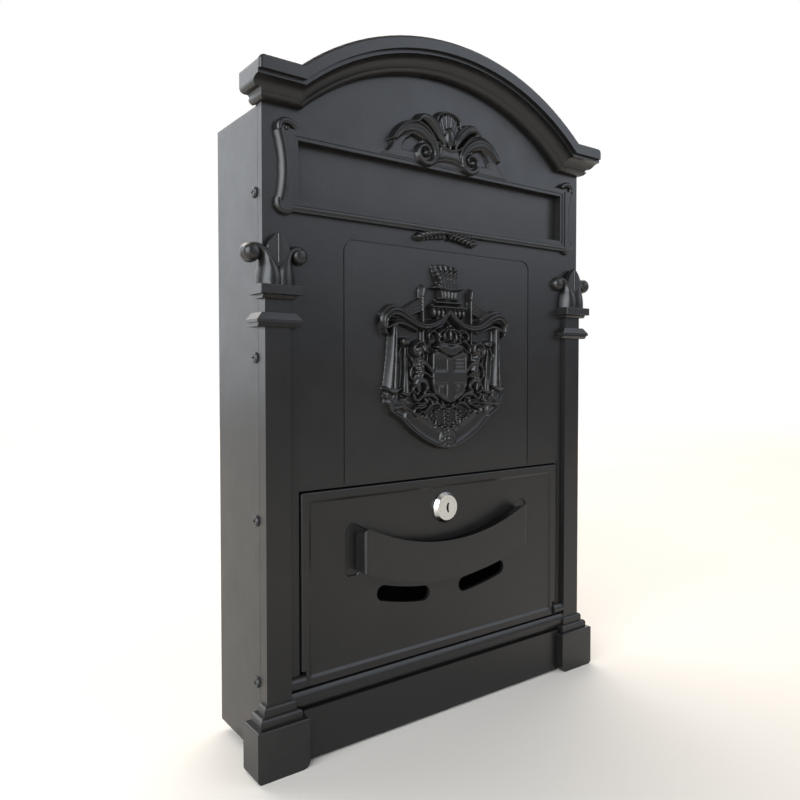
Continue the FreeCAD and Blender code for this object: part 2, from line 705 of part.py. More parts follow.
def plinth():
    pieces = []
    block = box(BLOCK_INNER, BLOCK_OUTER, -BLOCK_REACH, RIM_DEPTH, 0, BLOCK_HEIGHT)
    inner_foot = edges_where(block, lambda p: p.x < BLOCK_INNER + 0.01 and p.z < 0.01)
    block = block.makeFillet(4.0, inner_foot)
    outer_foot = edges_where(block, lambda p: p.x > BLOCK_OUTER - 0.01 and p.z < 0.01)
    block = block.makeFillet(2.6, outer_foot)
    top_edges = edges_where(block, lambda p: p.z > BLOCK_HEIGHT - 0.01 and p.y < RIM_DEPTH)
    top_edges += edges_where(block, lambda p: p.z > BLOCK_HEIGHT - 0.01 and p.x > BLOCK_OUTER - 0.01)
    block = block.makeFillet(0.9, top_edges)
    room = box(
        BLOCK_INNER + CAST_WALL, BLOCK_OUTER - CAST_WALL, CAST_WALL - BLOCK_REACH, FAR,
        CAST_WALL, BLOCK_HEIGHT - CAST_WALL,
    )
    pieces.append(block.cut(room))
    for k in (1, 2):
        low = BLOCK_HEIGHT + (k - 1) * STEP_HEIGHT
        depth = BLOCK_REACH - 0.5 - 2.0 * k
        step = box(
            BLOCK_INNER + STEP_SET * k, BLOCK_OUTER - STEP_SET * k, -depth,
            RIM_DEPTH - 2.8 * k, low - 0.5, low + STEP_HEIGHT,
        )
        top = low + STEP_HEIGHT - 0.01
        outer = edges_where(step, lambda p: p.z > top)
        outer = [e for e in outer if e.CenterOfMass.y < RIM_DEPTH - 2.8 * k - 0.01]
        pieces.append(step.makeFillet(2.2, outer))
    panel = joined([
        box(-BLOCK_INNER - 1, BLOCK_INNER + 1, -PLINTH_REACH, CAST_WALL, PLINTH_BOTTOM, PLINTH_TOP),
        box(-BLOCK_INNER - 1, BLOCK_INNER + 1, -PLINTH_REACH, STEEL_FRONT, PLINTH_BOTTOM,
            PLINTH_BOTTOM + 1.6),
    ])
    panel_room = box(
        1 - BLOCK_INNER, BLOCK_INNER - 1, CAST_WALL - PLINTH_REACH, FAR,
        PLINTH_BOTTOM + 1.6, PLINTH_TOP - CAST_WALL,
    )
    band = side_prism(
        (CAST_WALL, PLINTH_TOP - 0.5),
        [(-0.9, PLINTH_TOP - 0.5), ((-3.4, SILL - 4.0), (-1.8, SILL)), (CAST_WALL, SILL)],
        -PILASTER_INNER, PILASTER_INNER,
    )
    pieces += [mirrored(piece) for piece in pieces]
    return [pieces, panel.cut(panel_room), band, panel_room]


def hinge_lugs():
    near = DOOR_HALF - NOTCH_WIDTH + LUG_GAP
    lug = joined([
        rod_x(near, PILASTER_INNER + 0.5, HINGE_DEPTH, HINGE_HEIGHT, LUG_RADIUS),
        box(near, PILASTER_INNER + 0.5, HINGE_DEPTH, CAST_WALL, HINGE_HEIGHT - LUG_RADIUS,
            HINGE_HEIGHT + LUG_RADIUS),
    ])
    socket = rod_x(near - 1, OPENING_HALF + PIN_GRIP, HINGE_DEPTH, HINGE_HEIGHT, PIN_RADIUS)
    return both_sides(lug), both_sides(socket)


def opening_ribs():
    top = OPENING_TOP + OPENING_RIB
    across = box(
        -OPENING_HALF - OPENING_RIB, OPENING_HALF + OPENING_RIB, CAST_WALL - 0.5, LOCK_END,
        OPENING_TOP, top,
    )
    side = box(
        OPENING_HALF, OPENING_HALF + OPENING_RIB, CAST_WALL - 0.5, RIM_DEPTH,
        HINGE_HEIGHT + LUG_RADIUS + 4, top,
    )
    return [across] + both_sides(side)


def panel_groove():
    outer = rounded_plate(
        PANEL_HALF + GROOVE_WIDTH / 2, SILL, PANEL_TOP + GROOVE_WIDTH / 2, PANEL_CORNER, -1, GROOVE_DEPTH
    )
    inner = rounded_plate(
        PANEL_HALF - GROOVE_WIDTH / 2, SILL, PANEL_TOP - GROOVE_WIDTH / 2, PANEL_CORNER, -2, FAR
    )
    return outer.cut(inner)


def side_screw_heights():
    return [SIDE_SCREW_LOWEST + k * SIDE_SCREW_PITCH for k in range(SIDE_SCREW_COUNT)]


def side_holes(radius):
    return [
        rod_x(-BODY_HALF - 1, BODY_HALF + 1, SIDE_SCREW_DEPTH, z, radius) for z in side_screw_heights()
    ]


def front_casting():
    blocks, panel, band, panel_room = plinth()
    lugs, sockets = hinge_lugs()
    margin = rounded_plate(
        OPENING_HALF + OPENING_MARGIN, SILL - 2, OPENING_TOP + OPENING_MARGIN, 2.0,
        -1, OPENING_MARGIN_DEPTH,
    )
    opening = box(-OPENING_HALF, OPENING_HALF, -FAR, FAR, SILL, OPENING_TOP)
    plate = joined(plate_and_flanges()).cut([panel_groove(), margin, opening, panel_room])
    crest_holes = [
        rod_y(0, z, -1, CAST_WALL + 1, FIXING_RADIUS + FIXING_CLEARANCE) for z in CREST_SCREW_HEIGHTS
    ]
    body = joined([plate, cornice(), panel, band] + slot_surround() + blocks + lugs + pilasters())
    body = body.cut(slot_cuts() + crest_holes)
    housing_room = box(
        -BODY_HALF - SEAM_GAP, BODY_HALF + SEAM_GAP, STEEL_FRONT - SEAM_GAP, FAR,
        HOUSING_BOTTOM - SEAM_GAP, HOUSING_TOP + SEAM_GAP,
    )
    body = body.cut(housing_room)
    inside = plate_and_flanges()[3:]
    body = joined([body] + inside + opening_ribs() + rod_ears() + acanthus())
    body = body.cut(side_holes(SIDE_SCREW_RADIUS + RUNNING_GAP) + sockets)
    return body.removeSplitter()


# Steel box

def wall_hole_places():
    half_x = WALL_HOLE_SPACING_X / 2
    half_z = WALL_HOLE_SPACING_Z / 2
    return [(x, WALL_HOLE_HEIGHT + z) for x in (-half_x, half_x) for z in (-half_z, half_z)]


def housing():
    shell = box(-BODY_HALF, BODY_HALF, 0, BODY_DEPTH, HOUSING_BOTTOM, HOUSING_TOP)
    corners = edges_where(shell, lambda p: p.y > BODY_DEPTH - 0.01)
    corners += [e for e in shell.Edges if abs(e.Vertexes[0].Y - e.Vertexes[-1].Y) > 1]
    shell = shell.makeFillet(BEND_RADIUS, corners)
    room = box(
        SHEET - BODY_HALF, BODY_HALF - SHEET, -1, BODY_DEPTH - SHEET,
        HOUSING_BOTTOM + SHEET, HOUSING_TOP - SHEET,
    )
    inner = edges_where(room, lambda p: p.y > BODY_DEPTH - SHEET - 0.01)
    inner += [e for e in room.Edges if abs(e.Vertexes[0].Y - e.Vertexes[-1].Y) > 1]
    room = room.makeFillet(BEND_RADIUS - SHEET, inner)
    lid_front = CAST_WALL + FLAP_GAP
    front_trim = box(-FAR * 9, FAR * 9, -FAR, lid_front, 0, OVERALL_HEIGHT)
    low_trim = box(-FAR * 9, FAR * 9, -FAR, STEEL_FRONT, 0, HOUSING_TOP - BEND_RADIUS)
    side_trim = box(
        FLANGE_INNER - SEAM_GAP, BODY_HALF + 1, -FAR, STEEL_FRONT, 0, OVERALL_HEIGHT
    )
    holes = [rod_y(x, z, BODY_DEPTH - 5, BODY_DEPTH + 1, WALL_HOLE_RADIUS) for x, z in wall_hole_places()]
    cuts = [room, front_trim, low_trim] + both_sides(side_trim) + holes
    return shell.cut(cuts + side_holes(SIDE_SCREW_RADIUS + FIXING_CLEARANCE))


def pan_screw(head_radius, head_height, radius, length, slot):
    """A pan head screw along +X with its seat at the origin, head on the -X side."""
    head = turned(
        (0.0, -head_height),
        [(head_radius - 0.9, -head_height), ((head_radius - 0.25, -head_height * 0.7), (head_radius, 0.0)),
         (0.0, 0.0)],
        0, 0,
    )
    shank = rod_y(0, 0, 0, length, radius)
    cross = box(-slot, slot, -head_height - 1, 0.8 - head_height, -0.35, 0.35)
    crossed = box(-0.35, 0.35, -head_height - 1, 0.8 - head_height, -slot, slot)
    return joined([head, shank]).cut([cross, crossed])


def housing_screws(side):
    screws = []
    for z in side_screw_heights():
        screw = pan_screw(
            SIDE_SCREW_HEAD, SIDE_SCREW_HEAD_HEIGHT, SIDE_SCREW_RADIUS, SIDE_SCREW_LENGTH, 1.7
        )
        screw.rotate(V(0, 0, 0), V(0, 0, 1), side * 90)
        screw.translate(V(side * BODY_HALF, SIDE_SCREW_DEPTH, z))
        screws.append(screw)
    return Part.makeCompound(screws)


# Letter flap

def letter_flap():
    front = CAST_WALL + FLAP_GAP
    low = SLOT_BOTTOM - FLAP_LAP
    plate = box(-FLAP_HALF, FLAP_HALF, front, front + FLAP_SHEET, low, ROD_HEIGHT)
    hem = box(-FLAP_HALF, FLAP_HALF, front, front + FLAP_HEM, low, low + FLAP_SHEET)
    knuckle = rod_x(-FLAP_HALF, FLAP_HALF, ROD_DEPTH, ROD_HEIGHT, KNUCKLE_RADIUS)
    bore = rod_x(-FLAP_HALF - 1, FLAP_HALF + 1, ROD_DEPTH, ROD_HEIGHT, ROD_RADIUS + RUNNING_GAP)
    return joined([plate, hem, knuckle]).cut(bore)


def flap_rod():
    end = FLAP_HALF + 1.5 + ROD_EAR + CLIP_THICKNESS + 0.9
    return rod_x(-end, end, ROD_DEPTH, ROD_HEIGHT, ROD_RADIUS)


def flap_rod_clips():
    near = FLAP_HALF + 1.5 + ROD_EAR
    clip = rod_x(near, near + CLIP_THICKNESS, ROD_DEPTH + 0.6, ROD_HEIGHT, CLIP_RADIUS - 0.6)
    clip = clip.cut(rod_x(near - 1, near + 2, ROD_DEPTH, ROD_HEIGHT, ROD_RADIUS))
    return Part.makeCompound(both_sides(clip))


# Door

def door_window(side):
    """A curved slot with round ends, concentric with the handle."""
    inner = WINDOW_RADIUS - WINDOW_WIDTH / 2
    outer = WINDOW_RADIUS + WINDOW_WIDTH / 2

    def at(radius, degrees):
        angle = math.radians(degrees)
        return (side * radius * math.sin(angle), SMILE_CENTRE - radius * math.cos(angle))

    def beyond(degrees, turn):
        x, z = at(WINDOW_RADIUS, degrees)
        angle = math.radians(degrees)
        reach = turn * WINDOW_WIDTH / 2
        return (x + side * reach * math.cos(angle), z + reach * math.sin(angle))

    middle = (WINDOW_START + WINDOW_END) / 2
    steps = [
        (at(inner, middle), at(inner, WINDOW_END)),
        (beyond(WINDOW_END, 1), at(outer, WINDOW_END)),
        (at(outer, middle), at(outer, WINDOW_START)),
        (beyond(WINDOW_START, -1), at(inner, WINDOW_START)),
    ]
    return front_prism(at(inner, WINDOW_START), steps, -FAR, FAR)


def door_panel():
    slab = rounded_plate(DOOR_HALF, HINGE_HEIGHT - 3, DOOR_TOP, 1.5, -BORDER_REACH, DOOR_THICKNESS)
    slab = slab.cut(box(-FAR * 9, FAR * 9, -FAR, FAR, 0, HINGE_HEIGHT))
    rim = edges_where(slab, lambda p: p.y < 0.01 - BORDER_REACH and p.z > HINGE_HEIGHT + 1)
    slab = slab.makeFillet(0.7, rim)
    heel = rod_x(-DOOR_HALF, DOOR_HALF, HINGE_DEPTH, HINGE_HEIGHT, HINGE_HEEL).common(
        box(-DOOR_HALF, DOOR_HALF, -BORDER_REACH, DOOR_THICKNESS, 0, HINGE_HEIGHT)
    )
    field_low = DOOR_BOTTOM + BORDER_WIDTH
    field = Part.makeLoft([
        rounded_wire(DOOR_HALF - BORDER_WIDTH, field_low, DOOR_TOP - BORDER_WIDTH, 1.0, 0.0),
        rounded_wire(
            DOOR_HALF - BORDER_WIDTH + BORDER_SLOPE, field_low - BORDER_SLOPE,
            DOOR_TOP - BORDER_WIDTH + BORDER_SLOPE, 1.6, -BORDER_REACH - 0.01,
        ),
    ], True)
    rim_outer = rounded_plate(
        DOOR_HALF - 2, HINGE_HEIGHT + 9, DOOR_TOP - 2, 1.5, DOOR_THICKNESS - 0.1,
        DOOR_THICKNESS + DOOR_RIM_DEPTH,
    )
    rim_inner = rounded_plate(
        DOOR_HALF - 2 - DOOR_RIM_WIDTH, HINGE_HEIGHT + 9 + DOOR_RIM_WIDTH,
        DOOR_TOP - 2 - DOOR_RIM_WIDTH, 1.0, 0, FAR,
    )
    boss = rod_x(DOOR_HALF - NOTCH_WIDTH - 11, DOOR_HALF - NOTCH_WIDTH, HINGE_DEPTH, HINGE_HEIGHT, PIN_BOSS)
    boss = boss.common(box(-FAR * 9, FAR * 9, 0, FAR, 0, OVERALL_HEIGHT))
    body = joined([slab, heel, rim_outer.cut(rim_inner)] + both_sides(boss))
    notch_floor = DOOR_HALF - NOTCH_WIDTH
    notch = box(notch_floor, DOOR_HALF + 1, -FAR, FAR, 0, DOOR_BOTTOM + NOTCH_HEIGHT)
    bore = rod_x(
        notch_floor - PIN_REACH - 0.5, notch_floor + 1, HINGE_DEPTH, HINGE_HEIGHT, PIN_RADIUS + RUNNING_GAP
    )
    lock_hole = rod_y(0, LOCK_HEIGHT, -FAR, FAR, LOCK_RADIUS + LOCK_CLEARANCE)
    flat = LOCK_FLAT_HALF + LOCK_CLEARANCE
    lock_hole = lock_hole.common(box(-flat, flat, -FAR, FAR, 0, OVERALL_HEIGHT))
    screw_holes = both_sides(
        rod_y(HANDLE_SCREW_X, handle_screw_height(), -FAR, FAR, FIXING_RADIUS + FIXING_CLEARANCE)
    )
    cuts = [field, handle_pocket(), lock_hole, door_window(1), door_window(-1)] + screw_holes
    return body.cut(cuts + both_sides(notch) + both_sides(bore)).removeSplitter()


def hinge_pin(side):
    start = DOOR_HALF - NOTCH_WIDTH - PIN_REACH
    pin = rod_x(start, OPENING_HALF + PIN_GRIP, HINGE_DEPTH, HINGE_HEIGHT, PIN_RADIUS)
    return pin if side > 0 else mirrored(pin)


def smile(radius, x):
    """The height at x of a curve of the handle and windows."""
    return SMILE_CENTRE - math.sqrt(radius**2 - x**2)


def handle_screw_height():
    top = smile(HANDLE_TOP_RADIUS, HANDLE_SCREW_X)
    bottom = smile(HANDLE_TOP_RADIUS + HANDLE_BAND, HANDLE_SCREW_X)
    return (top + bottom) / 2


def smile_steps(top_radius, bottom_radius, half):
    start = (-half, smile(top_radius, half))
    steps = [
        ((0.0, smile(top_radius, 0.0)), (half, smile(top_radius, half))),
        (half, smile(bottom_radius, half)),
        ((0.0, smile(bottom_radius, 0.0)), (-half, smile(bottom_radius, half))),
    ]
    return start, steps


def smile_wire(top_radius, bottom_radius, half, y):
    start, steps = smile_steps(top_radius, bottom_radius, half)
    return outline(start, steps, lambda p: V(p[0], y, p[1]))


def smile_band(top_radius, bottom_radius, half, y0, y1):
    start, steps = smile_steps(top_radius, bottom_radius, half)
    return front_prism(start, steps, y0, y1)


def handle_pocket():
    """The sunk ground in the door that the handle rises out of."""
    side = HANDLE_HALF + POCKET_MARGIN
    inner = HANDLE_HALF - 3.0
    middle = smile(HANDLE_TOP_RADIUS, 0.0) - 0.6
    sole = smile(HANDLE_TOP_RADIUS + HANDLE_BAND, HANDLE_HALF) - 2.4
    low_radius = HANDLE_TOP_RADIUS + HANDLE_BAND - HANDLE_WALL
    steps = [
        (-side, middle + POCKET_RISE),
        ((0.0, middle), (side, middle + POCKET_RISE)),
        (side, sole),
        (HANDLE_HALF, sole),
        (inner, smile(low_radius, inner)),
        ((0.0, smile(low_radius, 0.0)), (-inner, smile(low_radius, inner))),
        (-HANDLE_HALF, sole),
    ]
    pocket = front_prism((-side, sole), steps, -POCKET_LIP, POCKET_DEPTH)
    for end in (1, -1):
        peak = edges_where(pocket, lambda p: end * p.x > side - 0.01 and p.z > middle)
        pocket = pocket.makeFillet(POCKET_CORNER, peak)
        foot = edges_where(pocket, lambda p: end * p.x > side - 0.01 and p.z < sole + 0.01)
        pocket = pocket.makeFillet(POCKET_CORNER / 2, foot)
    mouth = [face for face in pocket.Faces if face.BoundBox.YMax < 0.01 - POCKET_LIP][0]
    wide = mouth.makeOffset2D(POCKET_LIP, 2)
    narrow = mouth.OuterWire.copy()
    wide.translate(V(0, POCKET_LIP, 0))
    narrow.translate(V(0, 2 * POCKET_LIP, 0))
    return joined([pocket, Part.makeLoft([narrow, wide.OuterWire], True, True)])


def handle_shell():
    """The leaning band of the handle, with its ends rounded."""
    bottom_radius = HANDLE_TOP_RADIUS + HANDLE_BAND
    near = HANDLE_HALF - HANDLE_DRAFT
    face = smile_wire(HANDLE_TOP_RADIUS - HANDLE_LEAN, bottom_radius, near, -HANDLE_REACH)
    back = smile_wire(HANDLE_TOP_RADIUS + HANDLE_LEAN, bottom_radius, HANDLE_HALF + HANDLE_DRAFT, 0)
    band = Part.makeLoft([back, face], True, True)
    rounded = []
    for side in (1, -1):
        rounded += edges_where(band, lambda p: side * p.x > near - 0.1 and p.y < 0.1 - HANDLE_REACH)
        rounded += edges_where(band, lambda p: side * p.x > near - 0.1 and p.z > handle_screw_height())
    return band.makeFillet(HANDLE_ROUND, rounded)


def door_handle():
    low_radius = HANDLE_TOP_RADIUS + HANDLE_BAND - HANDLE_WALL
    pads = smile_band(
        HANDLE_TOP_RADIUS + HANDLE_LEAN + 2.0, low_radius - 0.3, HANDLE_HALF - 0.6, -0.5, POCKET_DEPTH
    )
    room = smile_band(
        HANDLE_TOP_RADIUS - 20, low_radius, HANDLE_HALF - HANDLE_END,
        HANDLE_WALL - HANDLE_REACH, POCKET_DEPTH + 1,
    )
    holes = both_sides(
        rod_y(HANDLE_SCREW_X, handle_screw_height(), -5.0, 2, FIXING_RADIUS + RUNNING_GAP)
    )
    return joined([handle_shell(), pads]).cut([room] + holes)


def fixing_screw(length):
    """A screw from behind, along -Y, with its seat at the origin."""
    screw = pan_screw(FIXING_HEAD, FIXING_HEAD_HEIGHT, FIXING_RADIUS, length, 1.6)
    screw.rotate(V(0, 0, 0), V(0, 0, 1), 180)
    return screw


def handle_screws():
    screw = fixing_screw(DOOR_THICKNESS + 4.6)
    screw.translate(V(HANDLE_SCREW_X, DOOR_THICKNESS, handle_screw_height()))
    return Part.makeCompound(both_sides(screw))


# Cam lock

def lock_barrel():
    flange = turned(
        (0.0, -LOCK_FLANGE),
        [(LOCK_FACE_RADIUS, -LOCK_FLANGE), (LOCK_FLANGE_RADIUS, -1.2), (LOCK_FLANGE_RADIUS, 0.0),
         (0.0, 0.0)],
        0, LOCK_HEIGHT,
    )
    body = rod_y(0, LOCK_HEIGHT, -0.5, LOCK_END, LOCK_RADIUS)
    body = body.common(box(-LOCK_FLAT_HALF, LOCK_FLAT_HALF, -1, FAR, 0, OVERALL_HEIGHT))
    bore = rod_y(0, LOCK_HEIGHT, -FAR, FAR, PLUG_RADIUS + RUNNING_GAP)
    seat = rod_y(0, LOCK_HEIGHT, -FAR, PLUG_COLLAR - LOCK_FLANGE, PLUG_COLLAR_RADIUS + RUNNING_GAP)
    return joined([flange, body]).cut([bore, seat])


def lock_washer():
    y0 = DOOR_THICKNESS
    ring = rod_y(0, LOCK_HEIGHT, y0, y0 + WASHER_THICKNESS, WASHER_RADIUS)
    teeth = []
    for k in range(12):
        tooth = box(-0.8, 0.8, y0 - 1, y0 + 2, WASHER_RADIUS - 1.2, WASHER_RADIUS + 1)
        tooth.rotate(V(0, 0, 0), V(0, 1, 0), 30 * k)
        tooth.translate(V(0, 0, LOCK_HEIGHT))
        teeth.append(tooth)
    return ring.cut([rod_y(0, LOCK_HEIGHT, 0, FAR, LOCK_RADIUS + LOCK_CLEARANCE)] + teeth)


def lock_nut():
    y0 = DOOR_THICKNESS + WASHER_THICKNESS
    corner = NUT_ACROSS / math.sqrt(3)
    corners = [
        (corner * math.cos(math.radians(60 * k)), LOCK_HEIGHT + corner * math.sin(math.radians(60 * k)))
        for k in range(6)
    ]
    hexagon = front_prism(corners[0], corners[1:], y0, y0 + NUT_THICKNESS)
    return hexagon.cut(rod_y(0, LOCK_HEIGHT, 0, FAR, LOCK_RADIUS + RUNNING_GAP))


def lock_plug():
    cam_front = LOCK_END + CAM_GAP
    core = rod_y(0, LOCK_HEIGHT, -LOCK_FLANGE, cam_front, PLUG_RADIUS)
    collar_end = PLUG_COLLAR - LOCK_FLANGE - RUNNING_GAP
    collar = rod_y(0, LOCK_HEIGHT, -LOCK_FLANGE, collar_end, PLUG_COLLAR_RADIUS)
    drive = box(
        -DRIVE_HALF, DRIVE_HALF, cam_front - 0.5, cam_front + CAM_THICKNESS,
        LOCK_HEIGHT - DRIVE_HALF, LOCK_HEIGHT + DRIVE_HALF,
    )
    low = LOCK_HEIGHT - KEYWAY_HEIGHT / 2
    high = LOCK_HEIGHT + KEYWAY_HEIGHT / 2
    curve = [
        ((-KEYWAY_WIDTH / 2, LOCK_HEIGHT), (KEYWAY_BOW, low)),
        (KEYWAY_BOW + 0.7, low + 0.5),
        ((KEYWAY_WIDTH / 2, LOCK_HEIGHT), (KEYWAY_BOW + 0.7, high - 0.5)),
    ]
    keyway = front_prism((KEYWAY_BOW, high), curve, -FAR, KEYWAY_DEPTH - LOCK_FLANGE)
    tapped = rod_y(0, LOCK_HEIGHT, cam_front + CAM_THICKNESS - 5.0, FAR, CAM_SCREW_RADIUS)
    return joined([core, collar, drive]).cut([keyway, tapped])


def lock_cam():
    """The tongue, pointing sideways in the unlocked pose."""
    y0 = LOCK_END + CAM_GAP
    steps = [
        ((-CAM_HALF, 0.0), (0.0, CAM_HALF)),
        (CAM_REACH - CAM_TIP_HALF, CAM_TIP_HALF),
        ((CAM_REACH, 0.0), (CAM_REACH - CAM_TIP_HALF, -CAM_TIP_HALF)),
    ]
    plate = front_prism((0.0, -CAM_HALF), steps, y0, y0 + CAM_THICKNESS)
    square = DRIVE_HALF + RUNNING_GAP
    plate = plate.cut(box(-square, square, 0, FAR, -square, square))
    plate.translate(V(0, 0, LOCK_HEIGHT))
    return plate


def cam_screw():
    y0 = LOCK_END + CAM_GAP + CAM_THICKNESS
    head = front_prism(
        (CAM_SCREW_HEAD, 0.0),
        [(CAM_SCREW_HEAD * math.cos(math.radians(60 * k)), CAM_SCREW_HEAD * math.sin(math.radians(60 * k)))
         for k in range(1, 6)],
        y0, y0 + CAM_SCREW_HEAD_HEIGHT,
    )
    head.translate(V(0, 0, LOCK_HEIGHT))
    shank = rod_y(0, LOCK_HEIGHT, y0 - 4.6, y0 + 0.5, CAM_SCREW_RADIUS)
    return joined([head, shank])


# Relief on the middle panel: a shield with a crown, hangings and scrolls. It is
# drawn from its foot at 0, at CREST_DRAWN_HEIGHT.

def crest_field():
    """The thin ground that carries the relief."""
    right = [
        ((21.0, 79.0), (36.0, 80.0)), (39.0, 60.0), ((38.0, 40.0), (36.0, 26.0)),
        ((18.0, 18.0), (0.0, 9.0)),
    ]
    left = [
        ((-18.0, 18.0), (-36.0, 26.0)), ((-38.0, 40.0), (-39.0, 60.0)), (-36.0, 80.0),
        ((-21.0, 79.0), (0.0, 84.0)),
    ]
    return [front_prism((0.0, 84.0), right + left, -1.6, 0)]


def crest_shield():
    steps = [
        (12.0, 63.6), ((14.6, 62.6), (14.2, 59.4)), (14.2, 44.0),
        ((10.8, 33.0), (0.0, 28.6)), ((-10.8, 33.0), (-14.2, 44.0)),
        (-14.2, 59.4), ((-14.6, 62.6), (-12.0, 63.6)), (-9.0, 63.0),
    ]
    pieces = [front_prism((0.0, 57.6), [(9.0, 63.0)] + steps, -5.0, 0)]
    pieces.append(front_prism((-0.5, 32.0), [(0.5, 32.0), (0.5, 57.0), (-0.5, 57.0)], -5.6, -4.0))
    pieces.append(front_prism((-13.0, 44.6), [(13.0, 44.6), (13.0, 45.6), (-13.0, 45.6)], -5.6, -4.0))
    for k in range(4):
        x = -10.8 + 2.6 * k
        pieces.append(front_prism((x, 47.2), [(x + 1.2, 47.2), (x + 1.2, 56.4), (x, 56.4)], -5.7, -4.0))
    for k in range(3):
        z = 48.2 + 3.0 * k
        pieces.append(front_prism((2.4, z), [(11.6, z), (11.6, z + 1.3), (2.4, z + 1.3)], -5.7, -4.0))
    pieces.append(front_prism((-9.6, 41.6), [(-2.2, 41.6), (-2.2, 34.6), (-6.6, 36.6)], -5.7, -4.0))
    pieces.append(knob(4.8, 39.4, 2.0, 1.2, -4.8))
    return pieces


def crest_crown():
    pieces = [bow_rib((-12.6, 64.4), (0.0, 68.0), (12.6, 64.4), 3.4, 5.6)]
    for k in (-2, -1, 0, 1, 2):
        pieces.append(knob(4.9 * k, 72.4 - 0.45 * k * k, 2.3, 5.6))
    pieces.append(leaf(0.0, 70.0, 8.0, 5.4, 5.0, 90))
    fringe = [
        (-13.4, 82.0), ((0.0, 79.4), (13.4, 82.0)), (10.6, 88.0), (-10.6, 88.0),
    ]
    pieces.append(front_prism(fringe[0], fringe[1:], -5.0, 0))
    for k in (-2, -1, 0, 1, 2):
        pieces.append(straight_rib(4.7 * k, 81.6, 4.4 * k, 87.4, 3.0, 1.4, -4.8))
    pieces.append(straight_rib(-11.4, 88.2, 11.4, 88.2, 2.6, 6.4))
    drum = [(-8.6, 88.6), (8.6, 88.6), (7.0, 93.2), (8.8, 99.6), (-8.8, 99.6), (-7.0, 93.2)]
    pieces.append(front_prism(drum[0], drum[1:], -5.4, 0))
    pieces.append(straight_rib(-7.2, 93.2, 7.2, 93.2, 2.0, 1.4, -5.2))
    brim = [(-11.4, 98.4), ((0.0, 100.8), (11.4, 98.4)), ((6.4, 103.4), (0.0, 104.4)), ]
    pieces.append(front_prism(brim[0], brim[1:] + [((-6.4, 103.4), (-11.4, 98.4))], -6.2, 0))
    for k in (-1, 0, 1):
        pieces.append(leaf(0.0, 101.4, 12.6 - 1.6 * abs(k), 5.8, 4.6 + 0.8 * (k == 0), 90 - 34 * k))
    return pieces


def crest_mantle():
    """The right-hand half of the hangings: swag, knot and two falls of cloth."""
    swag = [
        ((46.2, 76.2), (42.0, 82.8), (35.0, 82.0)),
        ((35.0, 82.0), (28.0, 78.4), (20.0, 76.6)),
        ((20.0, 76.6), (10.0, 77.6), (1.2, 84.6)),
    ]
    pieces = [bow_rib(start, middle, end, 5.6, 5.8) for start, middle, end in swag]
    pieces.append(bow_rib((46.4, 75.4), (34.0, 78.0), (22.0, 73.4), 3.0, 4.6))
    pieces.append(knob(45.4, 76.0, 3.6, 6.2))
    fall = [((42.6, 56.0), (40.6, 37.0)), ((45.0, 34.6), (48.6, 38.6)), ((46.4, 56.0), (45.0, 76.0))]
    pieces.append(front_prism((39.6, 76.0), fall, -3.6, 0))
    pieces.append(bow_rib((41.2, 75.0), (42.8, 56.0), (42.2, 38.0), 3.2, 5.6))
    pieces.append(bow_rib((44.2, 75.0), (45.4, 56.0), (46.6, 39.0), 2.8, 4.8))
    under = [((41.0, 32.0), (37.6, 30.4)), ((36.6, 34.0), (38.0, 38.0))]
    pieces.append(front_prism((46.0, 37.0), under, -2.6, 0))
    inner = [((31.0, 48.0), (29.0, 34.6)), ((33.0, 32.4), (37.0, 35.4)), ((35.4, 48.0), (34.0, 64.0))]
    pieces.append(front_prism((30.4, 64.0), inner, -3.4, 0))
    pieces.append(bow_rib((32.2, 63.0), (32.4, 48.0), (31.8, 35.0), 3.0, 5.0))
    pieces.append(straight_rib(29.2, 65.6, 36.0, 65.6, 4.4, 5.4))
    return pieces


def crest_side():
    """The right-hand half of the staff, flag, scrolls and leaves beside the shield."""
    pieces = [straight_rib(19.8, 50.0, 19.8, 94.6, 2.4, 4.4)]
    pieces.append(straight_rib(19.8, 94.6, 19.8, 99.4, 4.0, 5.2))
    pennant = [((28.0, 87.6), (34.4, 84.4)), (31.0, 81.0), (20.0, 84.4)]
    pieces.append(front_prism((20.0, 92.6), pennant, -2.8, 0))
    upper = [
        ((17.4, 48.0), (28.2, 50.6), (26.8, 60.4)),
        ((26.8, 60.4), (22.4, 65.4), (18.4, 61.6)),
        ((18.4, 61.6), (20.0, 57.0), (23.2, 58.6)),
    ]
    lower = [
        ((17.4, 48.0), (27.6, 44.6), (25.6, 37.4)),
        ((25.6, 37.4), (21.4, 34.6), (19.2, 38.4)),
    ]
    for k, (start, middle, end) in enumerate(upper + lower):
        pieces.append(bow_rib(start, middle, end, 4.4 - 0.3 * (k % 3), 5.6))
    pieces.append(leaf(16.0, 48.0, 9.0, 5.0, 5.0, 60))
    pieces.append(leaf(14.6, 36.0, 12.0, 6.0, 4.4, -8))
    pieces.append(leaf(9.0, 29.4, 13.0, 6.0, 4.4, 8))
    pieces.append(bow_rib((13.0, 27.0), (22.0, 27.6), (25.8, 23.2), 2.6, 3.8))
    pieces.append(straight_rib(10.0, 26.0, 10.0, 17.0, 2.4, 3.6))
    return pieces


